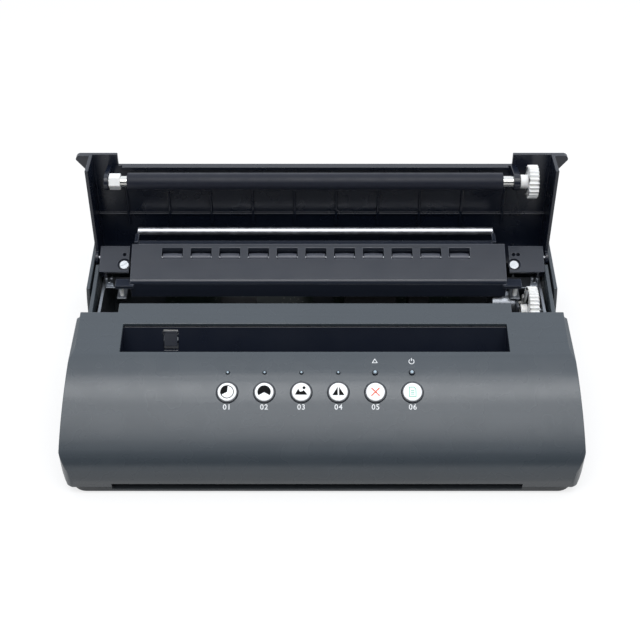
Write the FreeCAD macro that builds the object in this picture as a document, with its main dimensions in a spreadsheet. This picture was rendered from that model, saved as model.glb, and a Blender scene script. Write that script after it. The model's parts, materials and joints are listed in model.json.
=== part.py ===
import FreeCAD, Part
import math
import os
import re

import Sketcher

# A desk copier for stencil paper: a curved front casing with six keys, and a hinged lid with the platen.
# It is drawn standing on the floor, z = 0, with the front face at y = 0, x to the right and the lid open.
# Lid pieces are drawn lying flat, from the hinge axis forwards, and key pieces standing on the casing's skin.

# Driving sizes in millimetres and degrees.
SIZES = {
    # front outline
    "skin": 2.2,
    "parting_z": 5.4,
    "chin_y": 0.6,
    "nose_z": 11.5,
    "nose_arc": 26.0,
    "nose_turn": 46.0,
    "brow_arc": 112.8,
    "brow_turn": 75.0,
    "top_tilt": 6.7,
    "top_run": 16.0,
    "top_lip": 5.0,
    # side outline
    "belly_z": 24.0,
    "belly_arc": 63.7,
    "flank_arc": 400.0,
    "flank_gap": 4.3,
    "floor_inset": 4.7,
    "shoulder_low": 6.0,
    "shoulder_inset": 2.9,
    "shoulder_drop": 1.9,
    "shoulder_step": 2.8,
    "headroom": 17.5,
    "corner_arc": 9.0,
    # rear outline, notches and finger grips
    "wall_drop": 6.2,
    "rise_back": 10.2,
    "rise_run": 7.0,
    "rear_rise": 9.4,
    "rear_skin": 2.3,
    "hinge_back": 26.2,
    "notch_back": 6.9,
    "notch_margin": 4.0,
    "grip_lead": 28.2,
    "grip_drop": 15.4,
    "over": 4.0,
    # rails beside the works
    "rail_gap": 0.4,
    "rail_skin": 2.5,
    "rail_lead": 4.4,
    "rail_back": 6.3,
    "rail_inset": 4.1,
    "rail_web_run": 8.0,
    "rail_web_z": 20.0,
    # slots in the casing
    "path_x": -4.2,
    "slot_lead": 1.4,
    "slot_run": 20.8,
    "slot_half": 113.5,
    "exit_x": -2.9,
    "exit_margin": 4.7,
    "exit_rise": 3.1,
    # base pan and feet
    "foot_z": 1.5,
    "foot_radius": 7.0,
    "foot_inset": 16.0,
    "floor_skin": 1.7,
    "pan_rim": 2.5,
    "pan_inset": 0.9,
    "post_radius": 3.0,
    "board_z": 8.0,
    "board_skin": 1.6,
    # keys and lamps
    "key_turn": 62.6,
    "lamp_turn": 68.7,
    "key_x": -1.3,
    "key_step": 21.2,
    "key_radius": 5.4,
    "key_gap": 0.1,
    "key_rise": 1.5,
    "key_depth": 2.4,
    "key_flange": 0.5,
    "key_stem": 1.6,
    "bezel_radius": 6.15,
    "bezel_rise": 0.7,
    "fit_gap": 0.05,
    "seat_gap": 0.3,
    "panel_z": 7.5,
    "panel_margin": 14.5,
    "panel_front": 9.0,
    "panel_rear": 13.5,
    "switch_side": 6.0,
    "switch_z": 3.3,
    "lamp_radius": 0.95,
    "alert_radius": 1.5,
    "lamp_rise": 0.1,
    # document chute, flag, feed roller and scanner
    "chute_skin": 1.8,
    "nip_back": 5.9,
    "nip_run": 4.8,
    "nip_rise": 2.5,
    "flag_x": -89.9,
    "flag_half": 4.0,
    "flag_reach": 8.5,
    "flag_skin": 1.2,
    "flag_pin": 0.8,
    "flag_drop": 3.2,
    "flag_lean": 12.0,
    "feed_z": 31.0,
    "feed_radius": 6.5,
    "feed_margin": 5.5,
    "shaft_radius": 2.5,
    "scan_rise": 16.0,
    "scan_drop": 2.0,
    "scan_run": 18.0,
    "path_margin": 3.5,
    "glass_skin": 0.8,
    "glass_z": 9.0,
    # steel side plates and beam
    "works_run": 24.9,
    "plate_skin": 2.0,
    "plate_lead": 16.4,
    "plate_back": 7.2,
    "plate_drop": 8.6,
    "beam_gap": 1.0,
    "beam_run": 10.0,
    "beam_skin": 1.4,
    "beam_tab_lead": 10.0,
    "beam_tab_run": 6.0,
    # lid and hinge
    "hinge_lead": 18.3,
    "hinge_drop": 15.9,
    "hinge_pin": 1.8,
    "hinge_ear": 4.5,
    "lid_lean": 4.5,
    "lid_height": 22.7,
    "lid_skin": 2.4,
    "lid_wall": 2.2,
    "lid_edge": 0.7,
    "lid_tail_turn": 43.0,
    "rim_back": 8.0,
    "rim_margin": 10.3,
    "rim_drop": 4.5,
    "wing_reach": 4.1,
    "wing_run": 14.0,
    "wing_arc": 3.0,
    "wing_drop": 4.0,
    "rib_margin": 11.6,
    "rib_skin": 1.4,
    "rib_rise": 1.6,
    "rib_gap": 6.5,
    "rib_near": 12.5,
    "cross_rib": 21.0,
    # platen
    "platen_lead": 5.8,
    "platen_back": 10.3,
    "platen_up": 5.2,
    "platen_radius": 5.5,
    "platen_margin": 2.8,
    "journal_radius": 3.5,
    "hex_face": 4.5,
    "hex_inset": 6.6,
    "hex_run": 7.0,
    "bracket_skin": 2.6,
    "bracket_round": 5.4,
    "bracket_gap": 6.5,
    # gears and motors
    "gear_module": 0.8,
    "platen_teeth": 24,
    "drive_teeth": 36,
    "motor_teeth": 12,
    "feed_teeth": 24,
    "mesh_gap": 0.1,
    "platen_gear_inset": 10.9,
    "platen_gear_run": 6.0,
    "drive_gear_inset": 8.9,
    "drive_gear_run": 6.0,
    "mesh_turn": 33.0,
    "motor_turn": 28.0,
    "feed_mesh_turn": 60.0,
    "feed_gear_inset": 2.4,
    "feed_gear_run": 5.0,
    "hub_radius": 3.9,
    "axle_radius": 2.0,
    "motor_radius": 11.5,
    "motor_run": 15.0,
    "motor_axle": 1.0,
    "bracket_plate": 1.2,
    # print head
    "head_gap": 0.4,
    "head_skin": 1.5,
    "head_run": 18.0,
    "sink_lead": 13.0,
    "sink_run": 23.0,
    "sink_rise": 10.0,
    "sink_margin": 2.0,
    "fin_drop": 3.0,
    "fin_run": 2.0,
    "head_beam_skin": 2.0,
    "head_beam_lead": 14.0,
    "head_beam_run": 18.0,
    "spring_run": 6.0,
    "spring_radius": 3.0,
    # stencil guide and idler
    "guide_x": -2.2,
    "guide_margin": 5.0,
    "guide_lead": 26.8,
    "guide_rise": 2.7,
    "guide_slope": 25.0,
    "guide_nose_arc": 3.0,
    "guide_back": 2.8,
    "guide_skin": 2.2,
    "guide_flange": 5.0,
    "window_x": -3.8,
    "window_margin": 18.4,
    "window_bridge": 5.0,
    "window_front": 3.6,
    "window_rear": 3.2,
    "idler_lead": 8.5,
    "idler_rise": 7.3,
    "idler_axle": 1.2,
    "idler_radius": 2.9,
    "idler_gap": 0.8,
    "arm_reach": 9.4,
    "arm_lead": 1.7,
    "arm_run": 7.0,
    "arm_skin": 2.2,
    "stud_radius": 1.4,
    "stud_reach": 6.2,
    # decks and their screws
    "deck_lead": 13.3,
    "deck_drop": 0.6,
    "deck_run": 18.3,
    "deck_left_run": 19.0,
    "deck_right_run": 22.5,
    "deck_leg_back": 4.5,
    "screw_inset": 3.25,
    "screw_back": 5.2,
    "screw_recess": 4.0,
    "screw_recess_z": 1.2,
    "screw_head": 3.2,
    "screw_head_z": 0.9,
    "screw_shank": 1.3,
    "screw_shank_z": 5.0,
    "pilot_radius": 1.1,
    "pilot_back": 12.2,
    # paper rod and its bar
    "rod_back": 8.2,
    "rod_rise": 15.4,
    "rod_radius": 2.5,
    "rod_inset": 1.2,
    "bar_gap": 0.2,
    "bar_run": 3.8,
    "bar_rise": 10.2,
    "bar_skin": 3.2,
    "bar_margin": 1.5,
    "cradle_skin": 2.5,
    "cradle_lap": 1.3,
    # catches and hooks
    "catch_lead": 24.8,
    "catch_run": 8.0,
    "catch_skin": 1.5,
    "hook_inset": 2.5,
    "hook_half": 2.4,
    "hook_lead": 2.1,
    "hook_run": 2.4,
    "hook_rise": 4.5,
    # electrics
    "inlet_x": 96.0,
    "inlet_half": 14.0,
    "inlet_z": 7.0,
    "inlet_rise": 20.0,
    "inlet_run": 15.0,
    "inlet_mouth": 2.5,
    "blade_half": 0.75,
    "switch_x": 62.0,
    "switch_half": 9.6,
    "switch_low_z": 9.5,
    "switch_rise": 13.0,
    "switch_run": 11.0,
    "rocker_gap": 0.4,
    "rocker_rise": 1.8,
    "rocker_reach": 2.3,
    "rocker_turn": 7.0,
    "vent_x": -40.0,
    "vent_step": 6.0,
    "vent_run": 2.4,
    "vent_low_z": 14.0,
    "vent_drop": 16.0,
    "board_mid": 1.0,
    "board_gap": 14.0,
    "board_wide": 98.0,
    "supply_wide": 84.0,
    "board_run": 50.0,
    "board_back": 18.0,
    "board_inset": 4.5,
    "part_rise": 11.0,
    # base screws
    "base_screw_radius": 3.0,
    "base_screw_z": 0.7,
    "base_screw_inset": 27.2,
    "base_screw_front": 22.0,
    "base_screw_back": 10.0,
}

# Counts of repeated pieces.
KEYS = 6
ALERTS = 2
WINDOWS = 11
RIBS = 10
VENTS = 9
FINS = 5

# Shares of the sizes that they multiply.
ROOT_DROP_SHARE = 1.25
TOOTH_ROOT_SHARE = 0.95
TOOTH_TIP_SHARE = 0.35
SPRING_PLACE_SHARES = (-0.82, -0.3, 0.3, 0.82)
CHIP_SHARES = (
    (0.08, 0.3, 0.1, 0.45, 0.25),
    (0.38, 0.62, 0.5, 0.85, 0.2),
    (0.7, 0.92, 0.15, 0.6, 0.55),
)
SUPPLY_SHARES = (
    (0.08, 0.48, 0.12, 0.88, 1.0),
    (0.58, 0.74, 0.15, 0.42, 0.85),
    (0.58, 0.74, 0.55, 0.82, 0.85),
)

# Places and sizes that follow from the driving sizes.
PLACES = {
    # front outline: nose, brow and the crest where the top strip starts
    "nose_end_y": "nose_arc - nose_arc * cos(nose_turn)",
    "nose_end_z": "nose_z + nose_arc * sin(nose_turn)",
    "brow_y": "nose_end_y + brow_arc * cos(nose_turn)",
    "brow_z": "nose_end_z - brow_arc * sin(nose_turn)",
    "crest_y": "brow_y - brow_arc * cos(brow_turn)",
    "crest_z": "brow_z + brow_arc * sin(brow_turn)",
    "slot_front_y": "crest_y + slot_lead",
    "slot_rear_y": "slot_front_y + slot_run",
    "top_rear_y": "slot_rear_y + top_run",
    "top_rear_z": "crest_z + tan(top_tilt) * (top_rear_y - crest_y)",
    "top_lip_z": "top_rear_z - top_lip",
    "headroom_z": "top_rear_z + headroom",
    "exit_top_z": "parting_z + exit_rise",
    "pan_top_z": "foot_z + floor_skin",
    # platen with the lid shut, its gear train and the hinge behind it
    "shut_y": "top_rear_y + platen_lead",
    "mesh": "(platen_teeth + drive_teeth) * gear_module / 2 + mesh_gap",
    "drive_y": "shut_y + mesh * cos(mesh_turn)",
    "drive_tip": "drive_teeth * gear_module / 2 + gear_module",
    "beam_front_y": "drive_y + drive_tip + beam_gap",
    "hinge_y": "beam_front_y + hinge_lead",
    "hinge_z": "top_rear_z - hinge_drop",
    "platen_reach": "(hinge_y - shut_y - platen_up * sin(top_tilt)) / cos(top_tilt)",
    "shut_z": "hinge_z - platen_reach * sin(top_tilt) + platen_up * cos(top_tilt)",
    "drive_z": "shut_z - mesh * sin(mesh_turn)",
    "motor_mesh": "(drive_teeth + motor_teeth) * gear_module / 2 + mesh_gap",
    "motor_y": "drive_y + motor_mesh * cos(motor_turn)",
    "motor_z": "drive_z - motor_mesh * sin(motor_turn)",
    "lid_reach": "platen_reach + platen_back",
    "rib_far": "platen_reach - rib_gap",
    # depths
    "body_depth": "hinge_y + hinge_back",
    "front_y": "-(body_depth + rocker_reach) / 2",
    "rear_in_y": "body_depth - rear_skin",
    "notch_y": "top_rear_y - notch_back",
    "rail_front_y": "notch_y - rail_lead",
    "rail_rear_y": "hinge_y - rail_back",
    "grip_rear_y": "hinge_y - grip_lead",
    "rise_y": "hinge_y + rise_back",
    "plate_rear_y": "hinge_y + plate_back",
    "beam_rear_y": "beam_front_y + beam_run",
    "guide_nose_y": "hinge_y - guide_lead",
    "guide_rear_y": "hinge_y - guide_back",
    "idler_y": "hinge_y - idler_lead",
    "arm_front_y": "guide_nose_y - arm_lead",
    "deck_front_y": "hinge_y - deck_lead",
    "rod_y": "hinge_y + rod_back",
    "bar_front_y": "guide_rear_y + bar_gap",
    "catch_front_y": "hinge_y - catch_lead",
    "hook_front_y": "beam_front_y + hook_lead",
    "board_rear_y": "body_depth - board_back",
    "board_front_y": "board_rear_y - board_run",
    # heights
    "shoulder_z": "top_rear_z - shoulder_low",
    "wall_top_z": "hinge_z - wall_drop",
    "rear_top_z": "hinge_z + rear_rise",
    "grip_z": "wall_top_z - grip_drop",
    "plate_top_z": "hinge_z - plate_drop",
    "deck_z": "hinge_z - deck_drop",
    "guide_nose_z": "hinge_z + guide_rise",
    "idler_z": "hinge_z + idler_rise",
    "rod_z": "hinge_z + rod_rise",
    "bar_z": "hinge_z + bar_rise",
    "vent_top_z": "rear_top_z - vent_drop",
    "head_low_z": "shut_z - platen_radius - head_gap - head_skin",
    "sink_z": "head_low_z - sink_rise",
    "head_beam_z": "sink_z - spring_run - head_beam_skin",
    # widths, from the paper path outwards
    "plate_half": "slot_half + works_run",
    "plate_out": "plate_half + plate_skin",
    "rail_half": "plate_half + rail_inset",
    "rail_out": "rail_half + rail_skin",
    "lid_half": "rail_out + seat_gap * 2",
    "belly_half": "lid_half + flank_gap",
    "wing_half": "belly_half + wing_reach",
    "floor_half": "belly_half - floor_inset",
    "shoulder_half": "belly_half - shoulder_inset",
    "top_half": "shoulder_half - shoulder_step",
    "notch_half": "slot_half + notch_margin",
    "exit_half": "slot_half + exit_margin",
    "feed_half": "slot_half - feed_margin",
    "scan_half": "slot_half - path_margin",
    "sink_half": "scan_half + sink_margin",
    "platen_half": "slot_half + platen_margin",
    "guide_half": "slot_half + guide_margin",
    "bar_half": "slot_half + bar_margin",
    "rod_half": "bar_half - rod_inset",
    "rim_half": "slot_half + rim_margin",
    "deck_outer": "rail_half - seat_gap",
    "deck_left": "deck_left_run - deck_outer",
    "deck_right": "deck_outer - deck_right_run",
    "screw_left": "deck_left - screw_inset",
    "screw_right": "deck_right + screw_inset",
    "hex_left": "hex_inset - plate_half",
    "right_bracket": "path_x + platen_half + bracket_gap",
    "platen_gear_x": "plate_half - platen_gear_inset",
    "drive_gear_x": "plate_half - drive_gear_inset",
    "feed_gear_x": "feed_gear_inset - plate_half",
    "hook_x": "plate_half - hook_inset",
    "base_screw_x": "floor_half - base_screw_inset",
    "panel_half": f"key_step * {(KEYS - 1) / 2} + panel_margin",
    "window_step": f"(guide_half - window_margin) * 2 / {WINDOWS}",
    "window_run": "window_step - window_bridge",
    "idler_run": "window_run - idler_gap",
    "rib_step": f"(lid_half - rib_margin) * 2 / {RIBS}",
    "board_right": "board_mid - board_gap / 2",
    "board_left": "board_right - board_wide",
    "supply_left": "board_mid + board_gap / 2",
    "supply_right": "supply_left + supply_wide",
    # document chute, feed roller, scanner and flag
    "nip_y": "slot_front_y + nip_back",
    "feed_y": "nip_y + nip_run / 2 + fit_gap * 2 - feed_radius",
    "nip_z": "feed_z + feed_radius + nip_rise",
    "scan_top_z": "nip_z - scan_drop",
    "scan_z": "scan_top_z - scan_rise",
    "plate_front_y": "feed_y - plate_lead",
    "feed_mesh": "(feed_teeth + motor_teeth) * gear_module / 2 + mesh_gap",
    "feed_motor_y": "feed_y + feed_mesh * cos(feed_mesh_turn)",
    "feed_motor_z": "feed_z - feed_mesh * sin(feed_mesh_turn)",
    "chute_front_z": "crest_z + tan(top_tilt) * (slot_front_y - crest_y) - skin - seat_gap * 1.5",
    "chute_rear_z": "crest_z + tan(top_tilt) * (slot_rear_y - crest_y) - skin - seat_gap * 1.5",
    "chute_slope": "(slot_rear_y - nip_y - nip_run) / (chute_rear_z - nip_z)",
    "flag_z": "chute_rear_z - flag_drop",
    "flag_y": "slot_rear_y - flag_drop * chute_slope + chute_skin / 2",
}

doc = FreeCAD.newDocument("stencil_copier")
sheet = doc.addObject("Spreadsheet::Sheet", "Sizes")
places = doc.addObject("App::VarSet", "Places")
nodes = []
WORD = re.compile(r"[a-z][a-z_]*")
ORIGIN_PLANES = {"side": "YZ_Plane", "front": "XZ_Plane", "top": "XY_Plane"}
X_AXIS = FreeCAD.Vector(1, 0, 0)
TURNS = {
    "x": FreeCAD.Rotation(FreeCAD.Vector(0, 1, 0), 90),
    "y": FreeCAD.Rotation(X_AXIS, -90),
    "z": FreeCAD.Rotation(),
}


def fill_sheet():
    """Writes each driving size in a cell of its own, then ties each place to the cells it follows."""
    for row, (name, size) in enumerate(SIZES.items(), start=1):
        sheet.set(f"A{row}", name)
        sheet.set(f"B{row}", str(size))
        sheet.setAlias(f"B{row}", name)
    doc.recompute()
    for name, expression in PLACES.items():
        places.addProperty("App::PropertyFloat", name, "Places")
        places.setExpression(name, linked(expression))
    doc.recompute()


def linked(expression):
    """Points each name in an expression at its cell or its place."""
    def point(found):
        word = found[0]
        if word in PLACES:
            return f"Places.{word}"
        return f"Sizes.{word}" if word in SIZES else word

    return WORD.sub(point, expression)


def bind(item, links):
    for path, expression in links.items():
        item.setExpression(path, linked(expression))


def number(expression):
    return FreeCAD.Units.Quantity(sheet.evalExpression(linked(expression))).Value


def minus(expression):
    return f"-({expression})"


def block(name, x, y, z):
    """Box between pairs of coordinates."""
    box = doc.addObject("Part::Box", name)
    sides = zip(("Length", "Width", "Height"), "xyz", (x, y, z))
    for side, axis, (low, high) in sides:
        bind(box, {side: f"({high}) - ({low})", f"Placement.Base.{axis}": low})
    return box


def rod(name, along, radius, span, centre):
    """Round bar along one axis; centre holds the other two coordinates in x, y, z order."""
    bar = doc.addObject("Part::Cylinder", name)
    bar.Placement = FreeCAD.Placement(FreeCAD.Vector(), TURNS[along])
    bind(bar, {"Radius": radius, "Height": f"({span[1]}) - ({span[0]})"})
    others = [axis for axis in "xyz" if axis != along]
    bind(bar, {f"Placement.Base.{along}": span[0]})
    bind(bar, {f"Placement.Base.{axis}": place for axis, place in zip(others, centre)})
    return bar


def fuse(name, *items):
    whole = doc.addObject("Part::MultiFuse", name)
    whole.Shapes = list(items)
    whole.Refine = True
    return whole


def cut(name, base, *tools):
    part = doc.addObject("Part::Cut", name)
    part.Base = base
    part.Tool = tools[0] if len(tools) == 1 else fuse(name + "_tools", *tools)
    part.Refine = True
    return part


def common(name, base, tool):
    part = doc.addObject("Part::Common", name)
    part.Base = base
    part.Tool = tool
    part.Refine = True
    return part


def group(name, *items):
    together = doc.addObject("Part::Compound", name)
    together.Links = list(items)
    return together


def arc_edge(start, end, radius, turn):
    """Arc shorter than half a circle; turn is 1 anticlockwise and -1 clockwise."""
    first, last = (start, end) if turn > 0 else (end, start)
    chord = last - first
    rise = math.sqrt(max(radius**2 - chord.Length**2 / 4, 0))
    side = FreeCAD.Vector(-chord.y, chord.x, 0) / chord.Length
    centre = (first + last) / 2 + side * rise
    begin = math.atan2(first.y - centre.y, first.x - centre.x)
    finish = math.atan2(last.y - centre.y, last.x - centre.x)
    if finish < begin:
        finish += 2 * math.pi
    return Part.ArcOfCircle(Part.Circle(centre, FreeCAD.Vector(0, 0, 1), radius), begin, finish)


def hold(sketch, kind, places, expression):
    """Adds one dimension to a sketch and ties it to the sheet."""
    index = sketch.addConstraint(Sketcher.Constraint(kind, *places, number(expression)))
    sketch.setExpression(f"Constraints[{index}]", linked(expression))


def draw_loop(sketch, corners):
    """Closed outline. A corner with a radius and a turn is reached by an arc, any other by a line."""
    first = sketch.GeometryCount
    count = len(corners)
    points = [FreeCAD.Vector(number(corner[0]), number(corner[1]), 0) for corner in corners]
    edges = []
    ends = []
    for index, start in enumerate(points):
        following = (index + 1) % count
        bend = corners[following][2:]
        if bend:
            edges.append(arc_edge(start, points[following], number(bend[0]), bend[1]))
        else:
            edges.append(Part.LineSegment(start, points[following]))
        ends.append((2, 1) if bend and bend[1] < 0 else (1, 2))
    sketch.addGeometry(edges, False)
    for index, corner in enumerate(corners):
        before = (index - 1) % count
        joint = (first + before, ends[before][1], first + index, ends[index][0])
        sketch.addConstraint(Sketcher.Constraint("Coincident", *joint))
        here = (-1, 1, first + index, ends[index][0])
        hold(sketch, "DistanceX", here, corner[0])
        hold(sketch, "DistanceY", here, corner[1])
        if corner[2:]:
            hold(sketch, "Radius", (first + before,), corner[2])


def draw_circle(sketch, across, up, radius):
    centre = FreeCAD.Vector(number(across), number(up), 0)
    circle = Part.Circle(centre, FreeCAD.Vector(0, 0, 1), number(radius))
    index = sketch.addGeometry(circle, False)
    hold(sketch, "DistanceX", (-1, 1, index, 3), across)
    hold(sketch, "DistanceY", (-1, 1, index, 3), up)
    hold(sketch, "Radius", (index,), radius)


def pad(body, name, view, low, high, loops=(), circles=()):
    """Pads outlines drawn in one view of a body, from low to high along that view's axis."""
    role = ORIGIN_PLANES[view]
    plane = next(item for item in body.Origin.OriginFeatures if item.Role == role)
    sketch = body.newObject("Sketcher::SketchObject", name + "_sketch")
    sketch.AttachmentSupport = [(plane, "")]
    sketch.MapMode = "FlatFace"
    bind(sketch, {"AttachmentOffset.Base.z": minus(high) if view == "front" else low})
    for corners in loops:
        draw_loop(sketch, corners)
    for circle in circles:
        draw_circle(sketch, *circle)
    feature = body.newObject("PartDesign::Pad", name + "_pad")
    feature.Profile = sketch
    bind(feature, {"Length": f"({high}) - ({low})"})
    return feature


def prism(name, view, corners, low, high, circles=()):
    body = doc.addObject("PartDesign::Body", name)
    pad(body, name, view, low, high, loops=(corners,), circles=circles)
    return body


def toothed(name, teeth, low, high, bore):
    """Spur gear on the x axis, with its first tooth along y."""
    body = doc.addObject("PartDesign::Body", name)
    pitch = f"{teeth} * gear_module / 2"
    root = f"{pitch} - gear_module * {ROOT_DROP_SHARE}"
    tip = f"{pitch} + gear_module"
    pad(body, name + "_disc", "side", low, high, circles=(("0", "0", root), ("0", "0", bore)))
    wide = f"gear_module * {TOOTH_ROOT_SHARE}"
    narrow = f"gear_module * {TOOTH_TIP_SHARE}"
    inner = f"{root} - gear_module / 4"
    outline = ((inner, minus(wide)), (tip, minus(narrow)), (tip, narrow), (inner, wide))
    tooth = pad(body, name + "_tooth", "side", low, high, loops=(outline,))
    doc.recompute()
    pattern = body.newObject("PartDesign::PolarPattern", name + "_teeth")
    pattern.Originals = [tooth]
    axis = next(item for item in body.Origin.OriginFeatures if item.Role == "X_Axis")
    pattern.Axis = (axis, [""])
    pattern.Angle = 360
    bind(pattern, {"Occurrences": teeth})
    body.Tip = pattern
    return body


def frame_at(x="0", y="0", z="0", turn="0"):
    """A place to stand a piece: an origin and a turn about the x axis."""
    return {"x": x, "y": f"front_y + {y}", "z": z, "turn": turn}


def set_in(item, frame, turn_first=90):
    item.Placement = FreeCAD.Placement(FreeCAD.Vector(), FreeCAD.Rotation(X_AXIS, turn_first))
    bind(item, {f"Placement.Base.{axis}": frame[axis] for axis in "xyz"})
    bind(item, {"Placement.Rotation.Angle": frame["turn"]})
    return item


def turned(name, item, x="0", y="0", z="0", turn="0"):
    """Holds a piece at a tilt inside a larger one, still in casing coordinates."""
    holder = group(name, item)
    return set_in(holder, {"x": x, "y": y, "z": z, "turn": turn})


def keep(label, item, frame):
    """Stands a finished piece in its frame and lists it as a node."""
    if not item.isDerivedFrom("PartDesign::Body") and item.TypeId in ("Part::Box", "Part::Cylinder"):
        item = group(label + "_piece", item)
    set_in(item, frame)
    item.Label = label
    nodes.append(item)
    return item


CASING = frame_at()
LID = frame_at(y="hinge_y", z="hinge_z", turn="270 - lid_lean")


def top_z(y):
    """Height of the casing's flat top strip at a depth."""
    return f"(crest_z + tan(top_tilt) * ({y} - crest_y))"


def wall_z(y):
    """Height of the side walls' top edge at a depth."""
    return f"(wall_top_z + tan(top_tilt) * ({y} - notch_y))"


def shut_edge_z(y):
    """Height of the shut lid's lower edge at a depth."""
    return f"(hinge_z + lid_edge - tan(top_tilt) * (hinge_y - {y}))"


def guide_z(y):
    """Height of the sloping stencil guide at a depth."""
    return f"(guide_nose_z + tan(guide_slope) * ({y} - guide_nose_y))"


def skin_frame(turn, x="0"):
    """Frame on the curved front skin, square to it, at an angle round the brow arc."""
    y = f"(brow_y - brow_arc * cos({turn}))"
    z = f"(brow_z + brow_arc * sin({turn}))"
    return frame_at(x=x, y=y, z=z, turn=f"90 - {turn}")


def in_casing(frame):
    """The same frame in casing coordinates, for a piece that is cut from or joined to the casing."""
    return {**frame, "y": frame["y"].replace("front_y + ", "", 1)}


def key_place(index):
    return f"(key_x + ({index} - {(KEYS - 1) / 2}) * key_step)"


def front_corners(inset):
    """Front profile from the parting line up to the top strip, set in by a skin."""
    nose = f"(nose_arc - {inset})"
    brow = f"(brow_arc - {inset})"
    bend_y = f"nose_arc - {nose} * cos(nose_turn)"
    bend_z = f"nose_z + {nose} * sin(nose_turn)"
    end_y = f"brow_y - {brow} * cos(brow_turn)"
    end_z = f"brow_z + {brow} * sin(brow_turn)"
    return [(inset, "nose_z"), (bend_y, bend_z, nose, -1), (end_y, end_z, brow, -1)]


def barrel_corners(inset, low_z, high_z):
    """Front view of the casing: bowed flanks and a small shoulder below the top strip."""
    belly = f"(belly_arc - {inset})"
    half = [
        (f"belly_half - belly_arc + sqrt({belly}^2 - (belly_z - {low_z})^2)", low_z),
        (f"belly_half - {inset}", "belly_z", belly, 1),
        (f"shoulder_half - {inset}", "shoulder_z", "flank_arc", 1),
        (f"top_half - {inset}", "shoulder_z + shoulder_drop"),
        (f"top_half - {inset}", high_z),
    ]
    corners = list(half)
    bends = [corner[2:] for corner in half]
    for index in reversed(range(len(half))):
        bend = bends[index + 1] if index + 1 < len(half) else ()
        corners.append((minus(half[index][0]), half[index][1], *bend))
    return corners


def plan_corners(half, front, rear, radius):
    """Plan outline with rounded front corners."""
    return [
        (half, rear),
        (minus(half), rear),
        (minus(half), f"{front} + {radius}"),
        (f"-({half}) + {radius}", front, radius, 1),
        (f"{half} - {radius}", front),
        (half, f"{front} + {radius}", radius, 1),
    ]


def casing_mass(name, inset, rear, low_z):
    """Solid of the casing's outline, whole or set in by the skin."""
    front = front_corners(inset)
    if inset == "0":
        rest = [
            ("top_rear_y", top_z("top_rear_y")),
            ("top_rear_y", wall_z("top_rear_y")),
            ("rise_y", wall_z("rise_y")),
            ("rise_y + rise_run", "rear_top_z"),
            (rear, "rear_top_z"),
            (rear, low_z),
            ("chin_y", low_z),
        ]
    else:
        lip_y = f"top_rear_y - {inset}"
        rest = [
            (lip_y, f"{top_z(lip_y)} - {inset}"),
            (lip_y, "top_lip_z"),
            ("top_rear_y + over", "top_lip_z"),
            ("top_rear_y + over", "headroom_z"),
            (rear, "headroom_z"),
            (rear, low_z),
            (f"chin_y + {inset}", low_z),
        ]
    side = prism(name + "_side", "side", front + rest, "-belly_half - over", "belly_half + over")
    ends = ("-over", f"rear_in_y + over * 2")
    view = prism(name + "_view", "front", barrel_corners(inset, low_z, "headroom_z"), *ends)
    half = f"belly_half - {inset}"
    plan_rear = f"rear_in_y + over" if inset != "0" else "rear_in_y"
    outline = plan_corners(half, inset, plan_rear, f"(corner_arc - {inset} / 2)")
    plan = prism(name + "_plan", "top", outline, low_z, "headroom_z + over")
    return common(name, common(name + "_round", side, view), plan)


def main_casing():
    """Front, top strip and side walls in one moulding, with slots, key holes, notches and grips."""
    outer = casing_mass("casing_outer", "0", "rear_in_y", "parting_z")
    inner = casing_mass("casing_inner", "skin", f"rear_in_y + over", "parting_z - over")
    tools = [inner]
    slot_x = ("path_x - slot_half", "path_x + slot_half")
    slot_y = ("slot_front_y", "slot_front_y + slot_run")
    tools.append(block("entry_cut", slot_x, slot_y, ("nip_z", "headroom_z")))
    exit_span = ("exit_x - exit_half", "exit_x + exit_half")
    tools.append(block("exit_cut", exit_span, ("-over", "skin * 3"), ("parting_z - over", "exit_top_z")))
    for index in range(KEYS):
        place = in_casing(skin_frame("key_turn", key_place(index)))
        hole = rod(f"key_hole_{index}", "z", "bezel_radius + fit_gap", ("-over", "over"), ("0", "0"))
        tools.append(turned(f"key_hole_seat_{index}", hole, **place))
        place = in_casing(skin_frame("lamp_turn", key_place(index)))
        radius = "alert_radius" if index >= KEYS - ALERTS else "lamp_radius"
        hole = rod(f"lamp_hole_{index}", "z", f"{radius} + fit_gap", ("-over", "over"), ("0", "0"))
        tools.append(turned(f"lamp_hole_seat_{index}", hole, **place))
    for side, sign in (("left", "-1"), ("right", "1")):
        edge = f"path_x + {sign} * notch_half"
        far = f"{sign} * (belly_half + over)"
        span = (far, edge) if side == "left" else (edge, far)
        corners = [
            ("notch_y", wall_z("notch_y")),
            ("notch_y", "headroom_z"),
            ("top_rear_y + over", "headroom_z"),
            ("top_rear_y + over", wall_z("(top_rear_y + over)")),
        ]
        tools.append(prism(f"notch_{side}", "side", corners, *span))
        near = f"{sign} * rail_out"
        span = (far, near) if side == "left" else (near, far)
        tools.append(block(f"grip_{side}", span, ("notch_y", "grip_rear_y"), ("grip_z", "headroom_z")))
        near, far = f"{sign} * rail_half", f"{sign} * (lid_half + seat_gap)"
        span = (far, near) if side == "left" else (near, far)
        tools.append(block(f"room_{side}", span, ("notch_y", f"rear_in_y + over"), ("belly_z", "headroom_z")))
    shell = cut("casing_shell", outer, *tools)
    pieces = [shell]
    for side, sign in (("left", "-1"), ("right", "1")):
        place = in_casing(skin_frame("key_turn", f"key_x + {sign} * (panel_half - post_radius)"))
        boss = rod(f"panel_boss_{side}", "z", "post_radius", ("-panel_z", "-skin / 2"), ("0", "0"))
        pieces.append(turned(f"panel_boss_seat_{side}", boss, **place))
    keep("main_casing", fuse("casing", *pieces), CASING)
    rails = []
    for side, sign in (("left", -1), ("right", 1)):
        rails.append(common(f"rail_in_casing_{side}", rail(side, sign), inner))
    keep("lid_rails", group("rail_pair", *rails), CASING)


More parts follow.
